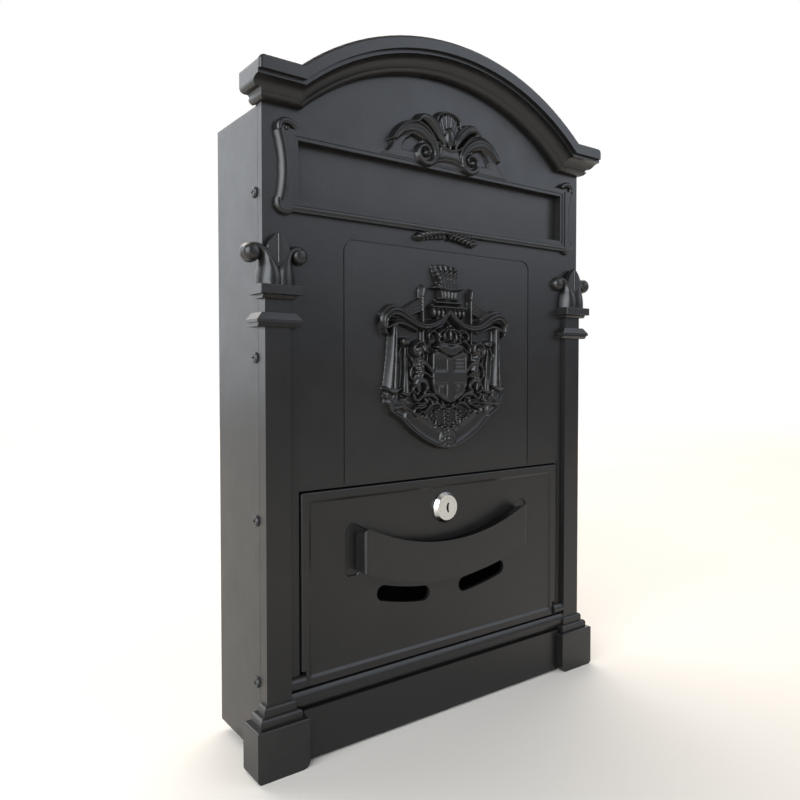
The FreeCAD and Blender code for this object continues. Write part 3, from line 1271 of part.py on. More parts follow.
def crest_ribbon():
    right = [
        ((22.0, 4.4), (38.0, 19.6)), ((43.6, 23.0), (45.6, 31.6)), ((41.0, 30.0), (34.0, 29.6)),
        ((30.0, 22.0), (21.0, 20.4)), ((11.0, 12.0), (0.0, 11.0)),
    ]
    left = [
        ((-11.0, 12.0), (-21.0, 20.4)), ((-30.0, 22.0), (-34.0, 29.6)), ((-41.0, 30.0), (-45.6, 31.6)),
        ((-43.6, 23.0), (-38.0, 19.6)), ((-22.0, 4.4), (0.0, 0.0)),
    ]
    pieces = [front_prism((0.0, 0.0), right + left, -3.4, 0)]
    for side in (1, -1):
        pieces.append(bow_rib((side * 3.0, 2.2), (side * 21.0, 7.0), (side * 37.6, 21.0), 2.6, 4.6))
        pieces.append(bow_rib((side * 3.0, 11.6), (side * 12.6, 13.6), (side * 21.6, 20.4), 2.2, 4.4))
    pieces.append(straight_rib(0.0, 27.6, 0.0, 15.2, 2.6, 4.4))
    medal = [(5.4, -5.0), ((6.2, -4.6), (6.6, -3.8)), (6.6, 0.0), (0.0, 0.0)]
    pieces.append(turned((0.0, -5.0), medal, 0, 6.8))
    pieces.append(arc_rib(0.0, 6.8, 4.4, 0, 360, 1.8, 1.2, -4.8))
    pieces.append(knob(0.0, 6.8, 2.2, 1.6, -4.8))
    return pieces


def crest():
    pieces = crest_field() + crest_shield() + crest_crown() + crest_ribbon()
    for piece in crest_mantle() + crest_side():
        pieces += both_sides(piece)
    relief = sized(pieces, CREST_HEIGHT / CREST_DRAWN_HEIGHT, CREST_FOOT)
    holes = [rod_y(0, z, -3.0, 1, FIXING_RADIUS + RUNNING_GAP) for z in CREST_SCREW_HEIGHTS]
    return relief.cut(holes)


def crest_screws():
    screws = []
    for z in CREST_SCREW_HEIGHTS:
        screw = fixing_screw(CAST_WALL + 3.0)
        screw.translate(V(0, CAST_WALL, z))
        screws.append(screw)
    return Part.makeCompound(screws)


PARTS = {
    "front_casting": front_casting,
    "crest": crest,
    "crest_screws": crest_screws,
    "housing": housing,
    "left_housing_screws": lambda: housing_screws(-1),
    "right_housing_screws": lambda: housing_screws(1),
    "letter_flap": letter_flap,
    "flap_rod": flap_rod,
    "flap_rod_clips": flap_rod_clips,
    "door_panel": door_panel,
    "door_handle": door_handle,
    "handle_screws": handle_screws,
    "left_hinge_pin": lambda: hinge_pin(-1),
    "right_hinge_pin": lambda: hinge_pin(1),
    "lock_barrel": lock_barrel,
    "lock_washer": lock_washer,
    "lock_nut": lock_nut,
    "lock_plug": lock_plug,
    "lock_cam": lock_cam,
    "cam_screw": cam_screw,
}

os.makedirs("parts", exist_ok=True)
for name, build in PARTS.items():
    shape = place(build())
    print(name, "valid", shape.isValid(), "solids", len(shape.Solids), "volume", round(shape.Volume, 1))
    shape.exportStep("parts/" + name + ".step")
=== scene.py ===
"""Looks for the wall mounted post box: materials, carved detail, floor, light and camera."""

import json
import math

import bpy
import numpy as np
from mathutils import Matrix, Vector


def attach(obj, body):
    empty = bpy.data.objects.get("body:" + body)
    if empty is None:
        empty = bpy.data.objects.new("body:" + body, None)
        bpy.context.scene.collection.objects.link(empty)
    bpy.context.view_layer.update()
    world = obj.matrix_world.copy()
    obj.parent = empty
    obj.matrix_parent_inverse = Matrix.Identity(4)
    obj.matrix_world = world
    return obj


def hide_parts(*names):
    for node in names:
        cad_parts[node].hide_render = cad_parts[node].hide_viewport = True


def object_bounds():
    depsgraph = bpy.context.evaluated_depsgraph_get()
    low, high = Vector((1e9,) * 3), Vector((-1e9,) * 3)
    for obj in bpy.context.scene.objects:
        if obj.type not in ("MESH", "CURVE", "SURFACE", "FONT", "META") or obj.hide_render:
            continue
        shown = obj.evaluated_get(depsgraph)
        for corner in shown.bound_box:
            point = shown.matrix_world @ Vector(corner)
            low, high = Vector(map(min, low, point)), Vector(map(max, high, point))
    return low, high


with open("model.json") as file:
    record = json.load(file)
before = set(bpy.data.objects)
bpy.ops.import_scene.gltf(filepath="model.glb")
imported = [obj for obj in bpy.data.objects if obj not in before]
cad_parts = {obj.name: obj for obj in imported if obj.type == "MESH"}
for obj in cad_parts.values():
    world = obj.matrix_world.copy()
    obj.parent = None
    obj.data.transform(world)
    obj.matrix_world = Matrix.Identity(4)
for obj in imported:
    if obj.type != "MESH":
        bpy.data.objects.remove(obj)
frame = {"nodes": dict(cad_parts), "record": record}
nodes = frame["nodes"]
cad_box = [list(corner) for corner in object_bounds()]

MM = 0.001
# The carved work is drawn in the front frame of the casting, in millimetres
FACADE = 60.5
FEET = 200.0


def point(x, y, z):
    """A point of the front frame, in metres in the shared frame."""
    return Vector((x * MM, (y - FACADE) * MM, (z - FEET) * MM))


# Camera, solved from the photograph

FRAME_PX = 800
FOCAL_PX = 710.6
SENSOR = 36.0
EYE = point(-284.7, -343.2, 214.7)
LOOK = Vector((0.5920, 0.8054, -0.0284))
PRINCIPAL = (403.0, 390.3)


def add_camera():
    """The photograph's view: eye, direction, lens and shift."""
    data = bpy.data.cameras.new("camera")
    data.sensor_width = SENSOR
    data.lens = FOCAL_PX * SENSOR / FRAME_PX
    data.shift_x = (FRAME_PX / 2 - PRINCIPAL[0]) / FRAME_PX
    data.shift_y = (PRINCIPAL[1] - FRAME_PX / 2) / FRAME_PX
    data.clip_start = 0.01
    camera = bpy.data.objects.new("camera", data)
    bpy.context.scene.collection.objects.link(camera)
    camera.location = EYE
    camera.rotation_euler = LOOK.to_track_quat("-Z", "Y").to_euler()
    bpy.context.scene.camera = camera


# Materials


class Nodes:
    """Short calls to build one material's node tree."""

    def __init__(self, name):
        self.material = bpy.data.materials.new(name)
        self.material.use_nodes = True
        self.tree = self.material.node_tree
        self.shader = self.tree.nodes["Principled BSDF"]
        self.place = self.tree.nodes.new("ShaderNodeTexCoord").outputs["Object"]

    def noise(self, scale, detail=3.0, rough=0.5, stretch=(1, 1, 1)):
        mapping = self.tree.nodes.new("ShaderNodeMapping")
        mapping.inputs["Scale"].default_value = stretch
        self.tree.links.new(self.place, mapping.inputs["Vector"])
        node = self.tree.nodes.new("ShaderNodeTexNoise")
        node.inputs["Scale"].default_value = scale
        node.inputs["Detail"].default_value = detail
        node.inputs["Roughness"].default_value = rough
        self.tree.links.new(mapping.outputs["Vector"], node.inputs["Vector"])
        return node.outputs["Fac"]

    def ramp(self, value, stops):
        node = self.tree.nodes.new("ShaderNodeValToRGB")
        elements = node.color_ramp.elements
        while len(elements) < len(stops):
            elements.new(0.5)
        for element, (position, colour) in zip(elements, stops):
            element.position = position
            element.color = (*colour, 1.0)
        self.tree.links.new(value, node.inputs["Fac"])
        return node.outputs["Color"]

    def blend(self, factor, first, second):
        node = self.tree.nodes.new("ShaderNodeMix")
        node.data_type = "RGBA"
        for value, key in ((factor, 0), (first, 6), (second, 7)):
            if isinstance(value, (int, float)):
                node.inputs[key].default_value = value
            elif isinstance(value, tuple):
                node.inputs[key].default_value = (*value, 1.0)
            else:
                self.tree.links.new(value, node.inputs[key])
        return node.outputs[2]

    def math(self, operation, first, second):
        node = self.tree.nodes.new("ShaderNodeMath")
        node.operation = operation
        for value, key in ((first, 0), (second, 1)):
            if isinstance(value, (int, float)):
                node.inputs[key].default_value = value
            else:
                self.tree.links.new(value, node.inputs[key])
        return node.outputs["Value"]

    def remap(self, value, low, high):
        node = self.tree.nodes.new("ShaderNodeMapRange")
        node.inputs["To Min"].default_value = low
        node.inputs["To Max"].default_value = high
        self.tree.links.new(value, node.inputs["Value"])
        return node.outputs["Result"]

    def bump(self, height, depth, strength, under=None):
        node = self.tree.nodes.new("ShaderNodeBump")
        node.inputs["Strength"].default_value = strength
        node.inputs["Distance"].default_value = depth
        self.tree.links.new(height, node.inputs["Height"])
        if under is not None:
            self.tree.links.new(under, node.inputs["Normal"])
        return node.outputs["Normal"]

    def to_shader(self, socket, value):
        if isinstance(value, (int, float)):
            self.shader.inputs[socket].default_value = value
        elif isinstance(value, tuple):
            self.shader.inputs[socket].default_value = (*value, 1.0)
        else:
            self.tree.links.new(value, self.shader.inputs[socket])


FLECK_GAIN = 1.7
WORN_GAIN = 2.4
PEEL_DEPTH = 0.06 * MM
WAVE_DEPTH = 0.12 * MM
MARK_DEPTH = 0.02 * MM


def powder_coat(name, low, high, roughness, grain):
    """Black powder coat: fine orange peel, faint clouds and slightly rubbed ridges."""
    n = Nodes(name)
    clouds = n.noise(14.0, 4.0, 0.55)
    speck = n.noise(3200.0, 2.0, 0.6)
    base = n.ramp(clouds, ((0.3, low), (0.7, high)))
    flecked = n.blend(n.remap(speck, 0.0, 0.22), base, tuple(c * FLECK_GAIN for c in high))
    edge = n.tree.nodes.new("ShaderNodeNewGeometry").outputs["Pointiness"]
    worn = n.ramp(edge, ((0.515, (0.0, 0.0, 0.0)), (0.6, (1.0, 1.0, 1.0))))
    patchy = n.math("MULTIPLY", worn, n.remap(n.noise(90.0, 4.0, 0.6), 0.0, 0.5))
    n.to_shader("Base Color", n.blend(patchy, flecked, tuple(c * WORN_GAIN for c in high)))
    n.to_shader("Roughness", n.remap(n.noise(60.0, 5.0, 0.6), roughness - 0.07, roughness + 0.09))
    peel = n.bump(n.noise(grain, 2.0, 0.5), PEEL_DEPTH, 0.55)
    n.to_shader("Normal", n.bump(n.noise(grain * 0.22, 3.0, 0.5), WAVE_DEPTH, 0.35, peel))
    n.to_shader("Specular IOR Level", 0.42)
    return n.material


def bright_metal(name, colour, roughness, stretch=(1, 1, 1), scale=900.0):
    """Nickel or zinc plate with fine turning or drawing marks."""
    n = Nodes(name)
    marks = n.noise(scale, 4.0, 0.6, stretch)
    tint = n.blend(n.remap(n.noise(120.0, 3.0), 0.0, 0.35), colour, tuple(c * 0.8 for c in colour))
    n.to_shader("Base Color", tint)
    n.to_shader("Metallic", 1.0)
    n.to_shader("Roughness", n.remap(marks, roughness - 0.05, roughness + 0.12))
    n.to_shader("Normal", n.bump(marks, MARK_DEPTH, 0.3))
    return n.material


def make_materials():
    """A finish for each material slot of the record."""
    cast = (0.0044, 0.0041, 0.0039), (0.0066, 0.0062, 0.0059)
    sheet = (0.0056, 0.0052, 0.0049), (0.0080, 0.0075, 0.0071)
    screws = (0.010, 0.010, 0.011), (0.015, 0.015, 0.016)
    return {
        "cast_front": powder_coat("cast_powder_coat", *cast, 0.34, 1500.0),
        "sheet_housing": powder_coat("sheet_powder_coat", *sheet, 0.37, 1900.0),
        "black_screws": powder_coat("screw_black", *screws, 0.36, 2500.0),
        "bright_lock": bright_metal("lock_nickel", (0.60, 0.60, 0.58), 0.18),
        "plain_steel": bright_metal("zinc_steel", (0.62, 0.63, 0.62), 0.3, (0.15, 1, 1), 1400.0),
    }


def dress_nodes(materials):
    """Puts each finish on the CAD nodes of its slot."""
    for part in frame["record"]["subparts"]:
        node = nodes[part["node"]]
        node.data.materials.clear()
        node.data.materials.append(materials[part["material_slot"]])


# Carved relief: heights over a flat ground, raised stroke by stroke, in millimetres

LINE_STEP = 0.6
CURVE_STEPS = 8
BACK_POWER = 0.7
DISH_REACH = 4
LEAST_HEIGHT = 0.06
RIM_SUNK = 0.25
FAR = 1000.0


def smooth_line(line):
    """A smooth line through a few drawn points, with even small steps."""
    line = [np.array(p, dtype=float) for p in line]
    if len(line) > 2:
        ends = [2 * line[0] - line[1]] + line + [2 * line[-1] - line[-2]]
        curve = []
        for a, b, c, d in zip(ends, ends[1:], ends[2:], ends[3:]):
            for t in np.linspace(0, 1, CURVE_STEPS + 1)[:-1]:
                curve.append(0.5 * (2 * b + (c - a) * t + (2 * a - 5 * b + 4 * c - d) * t**2
                                    + (3 * b - a - 3 * c + d) * t**3))
        line = curve + [line[-1]]
    line = np.array(line)
    run = np.concatenate(([0], np.cumsum(np.linalg.norm(np.diff(line, axis=0), axis=1))))
    count = max(2, int(run[-1] / LINE_STEP) + 1)
    even = np.linspace(0, run[-1], count)
    return np.column_stack([np.interp(even, run, line[:, k]) for k in range(2)])


def roll(top):
    """A rounded back."""
    return lambda across, along: top * np.clip(1 - across**2, 0, 1)**BACK_POWER


def ridges(top, count, depth, base=0.0):
    """A rounded back with count ridges running along it."""
    def shape(across, along):
        back = np.clip(1 - 0.9 * across**2, 0, 1)**BACK_POWER
        wave = np.abs(np.cos(0.5 * math.pi * count * (across + 1) + 0.5 * math.pi * (count + 1)))
        return base + (top - base) * back * (1 - depth * (1 - np.clip(wave, 0, 1)**BACK_POWER))
    return shape


def whole(outline):
    """A symmetric plate's outline from its right half, drawn from top middle to bottom middle."""
    return outline + [(-x, z) for x, z in reversed(outline) if x]


def rope(top, turns, lean):
    """A rounded back with slanting strands."""
    def shape(across, along):
        strand = np.abs(np.sin(math.pi * (along * turns + lean * across)))
        return top * np.sqrt(np.clip(1 - across**2, 0, 1)) * (0.5 + 0.5 * np.sqrt(strand))
    return shape


def leaf_back(top, vein):
    """A leaf: high beside its midrib, thin at its edges, thinner towards its tip."""
    def shape(across, along):
        side = np.sqrt(np.clip(1 - across**2, 0, 1))
        rib = 1 - vein * np.exp(-(across / 0.16)**2)
        return top * side * rib * (1 - 0.35 * along)
    return shape


class Relief:
    """Heights in millimetres on a grid of x and z, built up by strokes, plates and balls.

    Drawings give the right half, and are mirrored unless both is False.
    """

    def __init__(self, low, high, step):
        self.low = low
        self.high = high
        self.step = step
        columns = int((high[0] - low[0]) / step) + 1
        rows = int((high[1] - low[1]) / step) + 1
        self.x, self.z = np.meshgrid(low[0] + step * np.arange(columns), low[1] + step * np.arange(rows))
        self.height = np.zeros(self.x.shape)

    def raise_to(self, value, inside):
        self.height = np.where(inside, np.maximum(self.height, value), self.height)

    def window(self, low, high):
        """The cells between two corners."""
        first = [max(0, int((low[k] - self.low[k]) / self.step)) for k in range(2)]
        last = [max(0, int((high[k] - self.low[k]) / self.step) + 2) for k in range(2)]
        return np.s_[first[1]:last[1], first[0]:last[0]]

    def along_line(self, line, half):
        """Distance to the line, the side of it and how far along it, for the cells within half of it."""
        nearest = np.full(self.x.shape, FAR)
        side = np.zeros(self.x.shape)
        along = np.zeros(self.x.shape)
        share = np.linspace(0, 1, len(line))
        for a, b, t0, t1 in zip(line, line[1:], share, share[1:]):
            cells = self.window(np.minimum(a, b) - half, np.maximum(a, b) + half)
            dx, dz = b - a
            px, pz = self.x[cells] - a[0], self.z[cells] - a[1]
            t = np.clip((px * dx + pz * dz) / max(dx * dx + dz * dz, 1e-9), 0, 1)
            distance = np.hypot(px - t * dx, pz - t * dz)
            closer = distance < nearest[cells]
            nearest[cells] = np.where(closer, distance, nearest[cells])
            side[cells] = np.where(closer, np.where(px * dz - pz * dx > 0, 1.0, -1.0), side[cells])
            along[cells] = np.where(closer, t0 + t * (t1 - t0), along[cells])
        return nearest, side, along

    def stroke(self, line, widths, shape, both=True):
        """Sweeps a cross-section down a drawn line; widths are half widths, spread evenly along it."""
        drawings = [line]
        if both:
            drawings.append([(-x, z) for x, z in line])
        for number, drawing in enumerate(drawings):
            path = smooth_line(drawing)
            nearest, side, along = self.along_line(path, max(widths) + 1)
            half = np.interp(along, np.linspace(0, 1, len(widths)), widths)
            if number:
                side = -side
            inside = nearest < half
            across = np.where(inside, side * nearest / half, 1.0)
            self.raise_to(shape(across, along), inside)

    def plate(self, outline, top, edge, both=True, dish=0.0):
        """A flat area inside a drawn outline, with its rim rounded over edge."""
        drawings = [outline]
        if both:
            drawings.append([(-x, z) for x, z in outline])
        for drawing in drawings:
            loop = np.array(list(drawing) + [drawing[0]], dtype=float)
            inside = np.zeros(self.x.shape, dtype=bool)
            for (x0, z0), (x1, z1) in zip(loop, loop[1:]):
                if z0 != z1:
                    crossing = x0 + (self.z - z0) * (x1 - x0) / (z1 - z0)
                    inside ^= ((z0 > self.z) != (z1 > self.z)) & (self.x < crossing)
            nearest, _, _ = self.along_line(loop, edge + DISH_REACH)
            depth = np.clip(nearest / edge, 0, 1)
            value = top * np.sqrt(np.clip(1 - (1 - depth)**2, 0, 1))
            self.raise_to(value - dish * np.clip(nearest / DISH_REACH, 0, 1), inside)

    def sink(self, outlines, depth, edge):
        """Lowers the carving inside drawn outlines."""
        hollow = Relief(self.low, self.high, self.step)
        for outline in outlines:
            hollow.plate(outline, depth, edge)
        self.height = self.height - hollow.height

    def ball(self, centre, radii, top, base=0.0, both=True, turn=0.0, cut=False):
        """A domed oval."""
        for sign in (1, -1) if both and centre[0] else (1,):
            dx, dz = self.x - sign * centre[0], self.z - centre[1]
            c, s = math.cos(math.radians(sign * turn)), math.sin(math.radians(sign * turn))
            r2 = ((dx * c + dz * s) / radii[0])**2 + ((dz * c - dx * s) / radii[1])**2
            value = base + (top - base) * np.sqrt(np.clip(1 - r2, 0, 1))
            if cut:
                self.height = np.where(r2 < 1, self.height - value, self.height)
            else:
                self.raise_to(value, r2 < 1)

    def soften(self, passes):
        """Rounds the carving as paint and casting do."""
        for _ in range(passes):
            h = np.pad(self.height, 1, mode="edge")
            self.height = (4 * h[1:-1, 1:-1] + 2 * (h[:-2, 1:-1] + h[2:, 1:-1] + h[1:-1, :-2] + h[1:-1, 2:])
                           + h[:-2, :-2] + h[:-2, 2:] + h[2:, :-2] + h[2:, 2:]) / 16

    def mesh(self, name):
        """The carving as a mesh that stands on the facade, with its rim sunk into it."""
        solid = self.height > LEAST_HEIGHT
        kept = solid[:-1, :-1] | solid[1:, :-1] | solid[:-1, 1:] | solid[1:, 1:]
        used = np.zeros(self.height.shape, dtype=bool)
        used[:-1, :-1] |= kept
        used[1:, :-1] |= kept
        used[:-1, 1:] |= kept
        used[1:, 1:] |= kept
        number = np.full(self.height.shape, -1)
        number[used] = np.arange(used.sum())
        depth = np.where(solid, self.height, -RIM_SUNK)
        corners = [point(x, -h, z) for x, z, h in zip(self.x[used], self.z[used], depth[used])]
        rows, columns = np.nonzero(kept)
        faces = [tuple(int(number[r + dr, c + dc]) for dr, dc in ((0, 0), (0, 1), (1, 1), (1, 0)))
                 for r, c in zip(rows, columns)]
        data = bpy.data.meshes.new(name)
        data.from_pydata(corners, [], faces)
        data.polygons.foreach_set("use_smooth", [True] * len(data.polygons))
        piece = bpy.data.objects.new(name, data)
        bpy.context.scene.collection.objects.link(piece)
        return piece


# The carved pieces: every point is x and z of the front frame in millimetres

MEDAL = 172.3


def drawn_crest():
    """Applied relief on the middle panel: crowned shield between scrolls, under a swag with hangings."""
    r = Relief((-51, 163.5), (51, 281.5), 0.38)
    ground = [(0, 250), (20, 241), (41, 243), (41.5, 222), (40, 196), (30, 186), (12, 172), (0, 168)]
    r.plate(whole(ground), 0.9, 0.8, both=False)
    carve_ribbon(r)
    carve_hangings(r)
    carve_lances(r)
    carve_scrolls(r)
    carve_shield(r)
    carve_crown(r)
    r.soften(1)
    return r.mesh("crest_relief")


def carve_ribbon(r):
    band = [(0, 165.6), (9, 167.6), (20, 172.8), (29, 179), (36, 185.6), (42, 189), (45, 194), (44, 199),
            (38, 197), (30, 193), (24, 190), (15, 184.5), (7, 180.2), (0, 178.6)]
    r.plate(band, 3.6, 1.6, dish=0.9)
    r.stroke([(0, 166.6), (9, 168.4), (20, 173.8), (29, 180), (36, 186.4), (42, 190), (44.4, 195)],
             (1.1, 1.5, 1.7, 1.5), roll(4.8))
    r.stroke([(44.5, 196), (41, 192.5), (36.5, 193), (33, 190), (33.5, 186)],
             (2.6, 2.2, 1.6, 1.0), roll(4.9))
    r.stroke([(36, 197), (33, 193), (27, 189)], (2.4, 1.8, 0.8), roll(4.6))
    r.stroke([(31, 192), (24.5, 188.6), (19.5, 189.4), (14, 183.6), (8.6, 179.8), (0, 178)],
             (0.9, 0.8), roll(4.4))
    for step in range(9):
        share = step / 8
        r.ball((2.4 + 20 * share, 178.4 + 9.6 * share ** 0.85), (1.15, 1.0), 4.9)
    r.ball((0, MEDAL), (6.9, 6.9), 5.2, 2.6, both=False)
    r.ball((0, MEDAL), (5.4, 5.4), 0.8, 0.5, both=False, cut=True)
    r.ball((0, MEDAL), (3.9, 3.9), 6.0, 3.8, both=False)
    r.ball((0, MEDAL), (2.6, 2.6), 0.9, 0.5, both=False, cut=True)
    r.ball((0, MEDAL), (1.5, 1.5), 6.4, 4.4, both=False)
    for step in range(10):
        angle = math.radians(18 + 36 * step)
        r.ball((4.7 * math.cos(angle), MEDAL + 4.7 * math.sin(angle)), (0.8, 0.8), 5.3, 3.8, both=False)


def carve_hangings(r):
    r.stroke([(41.0, 241), (41.6, 222), (42.4, 204)], (2.3, 3.3, 4.9), ridges(6.0, 2, 0.4, 0.6))
    r.stroke([(37.4, 204), (40.4, 202.2), (43.6, 201.8), (47.4, 204)], (1.0, 1.3, 1.0), roll(6.2))
    r.stroke([(39.6, 201), (40.4, 197.4)], (2.4, 2.9), ridges(4.0, 2, 0.5, 0.6))
    r.stroke([(44.6, 200.6), (43.6, 196.6)], (2.0, 2.5), ridges(3.6, 2, 0.45, 0.6))
    r.stroke([(37.0, 197.2), (40, 195), (44.6, 196.4), (46.8, 199.6)], (0.8, 1.1, 0.8), roll(4.8))
    r.stroke([(33.4, 228), (32.8, 214), (32.6, 201)], (0.9, 1.8, 3.4), ridges(5.0, 2, 0.55, 0.6))
    r.stroke([(29.0, 201.4), (32.6, 200), (36.2, 201)], (0.8, 1.0, 0.8), roll(5.6))
    r.stroke([(31.8, 199), (31.2, 196)], (2.0, 2.4), ridges(3.6, 2, 0.4, 0.5))
    r.stroke([(28.6, 195.8), (31.4, 194.4), (34.2, 195.8)], (0.7, 0.9, 0.7), roll(4.2))
    r.ball((33.5, 231.4), (3.9, 2.5), 5.8, 0.8, turn=4)
    for k in range(3):
        r.stroke([(31.4 + 2.1 * k, 233.2), (31.8 + 1.7 * k, 229.6)], (0.5, 0.5), roll(6.4))
    r.stroke([(35.8, 228.4), (37.6, 224), (36.8, 219.6)], (0.9, 1.1, 0.5), roll(3.8))
    swag = [(48.2, 240.0), (48.0, 245.0), (43.6, 248.8), (38, 248.6), (31, 245.2), (25, 242.2), (18, 241.2),
            (11, 242.8), (5, 246.2), (0.4, 250.8)]
    r.stroke(swag, (2.0, 3.6, 4.3, 4.0, 3.4, 3.0, 2.9, 2.8, 2.6, 2.0), ridges(7.2, 3, 0.5, 0.8))
    r.stroke([(46.8, 239.4), (42.6, 241.4), (37.4, 242.6), (31, 240.8), (24.4, 238.2)],
             (1.3, 1.7, 1.7, 1.3, 0.6), roll(5.8))
    r.stroke([(48.4, 239.8), (47.2, 236.6), (45.2, 235.4)], (1.3, 1.3, 0.7), roll(5.4))


def carve_lances(r):
    pennant = [(20, 258.4), (26, 255.6), (32, 252.6), (38, 250.6), (33, 246.6), (27, 247.6), (20.2, 249.4)]
    r.plate(pennant, 2.2, 0.7)
    for k in range(4):
        r.stroke([(20.4, 257.8 - 2.3 * k), (27, 254.6 - 2.1 * k), (35 - 1.6 * k, 250.6 - 1.5 * k)],
                 (0.9, 0.9, 0.5), roll(3.4))
    r.stroke([(19.2, 212), (19.5, 262)], (0.95, 0.95), roll(4.2))
    r.stroke([(19.5, 259.8), (19.5, 261)], (1.7, 1.7), roll(4.6))
    r.stroke([(19.5, 261.4), (19.5, 263), (19.5, 266)], (1.6, 1.5, 0.3), roll(5.0))


def carve_scrolls(r):
    """The scrolled figures that hold the shield and the leafy ground that they stand on."""
    r.stroke([(24.6, 224), (22.4, 218.6), (21.8, 212.6), (24.4, 207), (23.4, 202.4)],
             (3.3, 3.9, 3.5, 3.4, 1.7),
             ridges(6.0, 3, 0.42, 0.8))
    r.ball((23.6, 226.6), (4.6, 4.3), 6.4, 0.8, turn=20)
    r.stroke([(19.6, 226), (20.6, 230.6), (24.6, 231.4), (28, 228.6), (27.6, 224.4), (24.8, 223.4),
              (23.6, 226), (25.0, 227.6)],
             (0.9, 1.3, 1.4, 1.4, 1.3, 1.1, 0.9, 0.7), roll(7.3))
    r.stroke([(22.8, 220.4), (18.0, 218.2), (14.2, 214.0)], (1.9, 1.7, 1.2), ridges(6.9, 2, 0.35, 1))
    r.stroke([(22.6, 214.4), (18, 212.4), (14.2, 210.0)], (1.5, 1.4, 0.9), roll(6.4))
    r.stroke([(24.2, 208.6), (19.6, 208.0), (17.0, 204.4), (19.4, 201.2)], (2.1, 2.0, 1.6, 1.0),
             ridges(6.6, 2, 0.35, 1))
    r.stroke([(25.8, 206), (28.0, 203.2), (25.6, 200.6)], (1.5, 1.4, 0.9), roll(5.6))
    r.stroke([(26.2, 207.6), (29.4, 211), (29.0, 215.6), (26.8, 217.6), (28.6, 221)],
             (0.8, 1.0, 0.9, 0.8, 1.2),
             roll(5.0))
    for k in range(4):
        r.stroke([(20.2 + 0.5 * k, 221.4 - 2.6 * k), (23.8 + 0.4 * k, 220.2 - 2.7 * k)],
                 (0.5, 0.45), roll(7.0))
    r.stroke([(9, 196.6), (14, 199.6), (19.6, 199.4), (24.8, 196.4), (27.2, 199.8)],
             (1.1, 1.6, 1.6, 1.3, 0.9),
             ridges(5.8, 2, 0.3, 0.8))
    r.stroke([(16, 197.2), (19.4, 194.4), (23.4, 194.8)], (1.4, 1.3, 0.7), roll(5.2))
    r.stroke([(24.4, 199.8), (22.8, 203.0)], (1.1, 0.5), roll(5.0))
    r.stroke([(17.6, 193.4), (21.6, 191.8), (25.6, 192.0), (27.2, 189.2), (25.0, 187.2), (22.8, 188.8)],
             (0.8, 1.1, 1.2, 1.2, 1.1, 0.8), roll(5.6))
    r.stroke([(5, 192.4), (9.6, 194.2), (14.6, 192.8), (18.4, 189.4)],
             (0.8, 1.3, 1.3, 0.7), ridges(5.4, 2, 0.3, 0.8))
    r.stroke([(0.6, 190.6), (4.6, 191.8), (8, 190.2)], (0.8, 1.1, 0.6), roll(4.8))
    for x in (3.6, 7.8, 12.2, 16.4):
        r.stroke([(x, 192.6 + 0.12 * x), (x + 2.4, 196.6 + 0.1 * x)], (1.0, 0.4), roll(5.2))
    for x in (0, 9.8):
        for k in range(5):
            r.ball((x, 188.8 - 2.4 * k), (1.5 - 0.1 * k, 1.15), 4.8)
    # leaves on both sides of the small crown
    r.stroke([(9.4, 237), (12.6, 238.6), (15.8, 236.6), (15.4, 233.4), (13.2, 233.6)],
             (0.7, 1.1, 1.2, 1.0, 0.7),
             roll(5.6))
    r.stroke([(11, 233), (14.8, 231.4), (17.6, 228.6), (16.6, 225.2), (14.8, 226.6)],
             (0.8, 1.2, 1.2, 1.0, 0.6),
             roll(5.4))


def carve_shield(r):
    shield = [(0, 222.8), (5, 224.8), (10, 226.8), (14.2, 225.6), (14.4, 214), (14, 205.6), (11.6, 199.8),
              (6, 196.2), (0, 193.8)]
    r.plate(whole(shield), 6.2, 0.9, both=False)
    upper = [(2.6, 214), (12.6, 214), (12.4, 223.4), (9.6, 224.4), (2.6, 221.8)]
    lower = [(2.6, 206.8), (12.6, 206.8), (11.8, 203), (9.6, 200.4), (5.4, 198.4), (2.6, 197.6)]
    r.sink([upper, lower], 0.9, 0.35)
    for k in range(4):
        x = -11.0 + 2.3 * k
        r.stroke([(x, 215.4), (x, 221.6)], (0.55, 0.55), roll(6.1), both=False)
    for k in range(3):
        z = 216.2 + 2.4 * k
        r.stroke([(4.6, z), (11.0, z)], (0.55, 0.55), roll(6.1), both=False)
    r.plate([(-9.4, 199.6), (-4.6, 199.6), (-4.6, 205), (-9.4, 205)], 6.1, 0.4, both=False)
    r.ball((6.8, 203.2), (2.2, 2.2), 6.3, 5.0, both=False)
    # smooth folded collar between the shield and the small crown
    collar = [(0, 230.0), (6.0, 231.6), (12.6, 229.4), (9.0, 226.4), (4.0, 223.8), (0, 222.8)]
    r.plate(whole(collar), 6.9, 1.6, both=False)


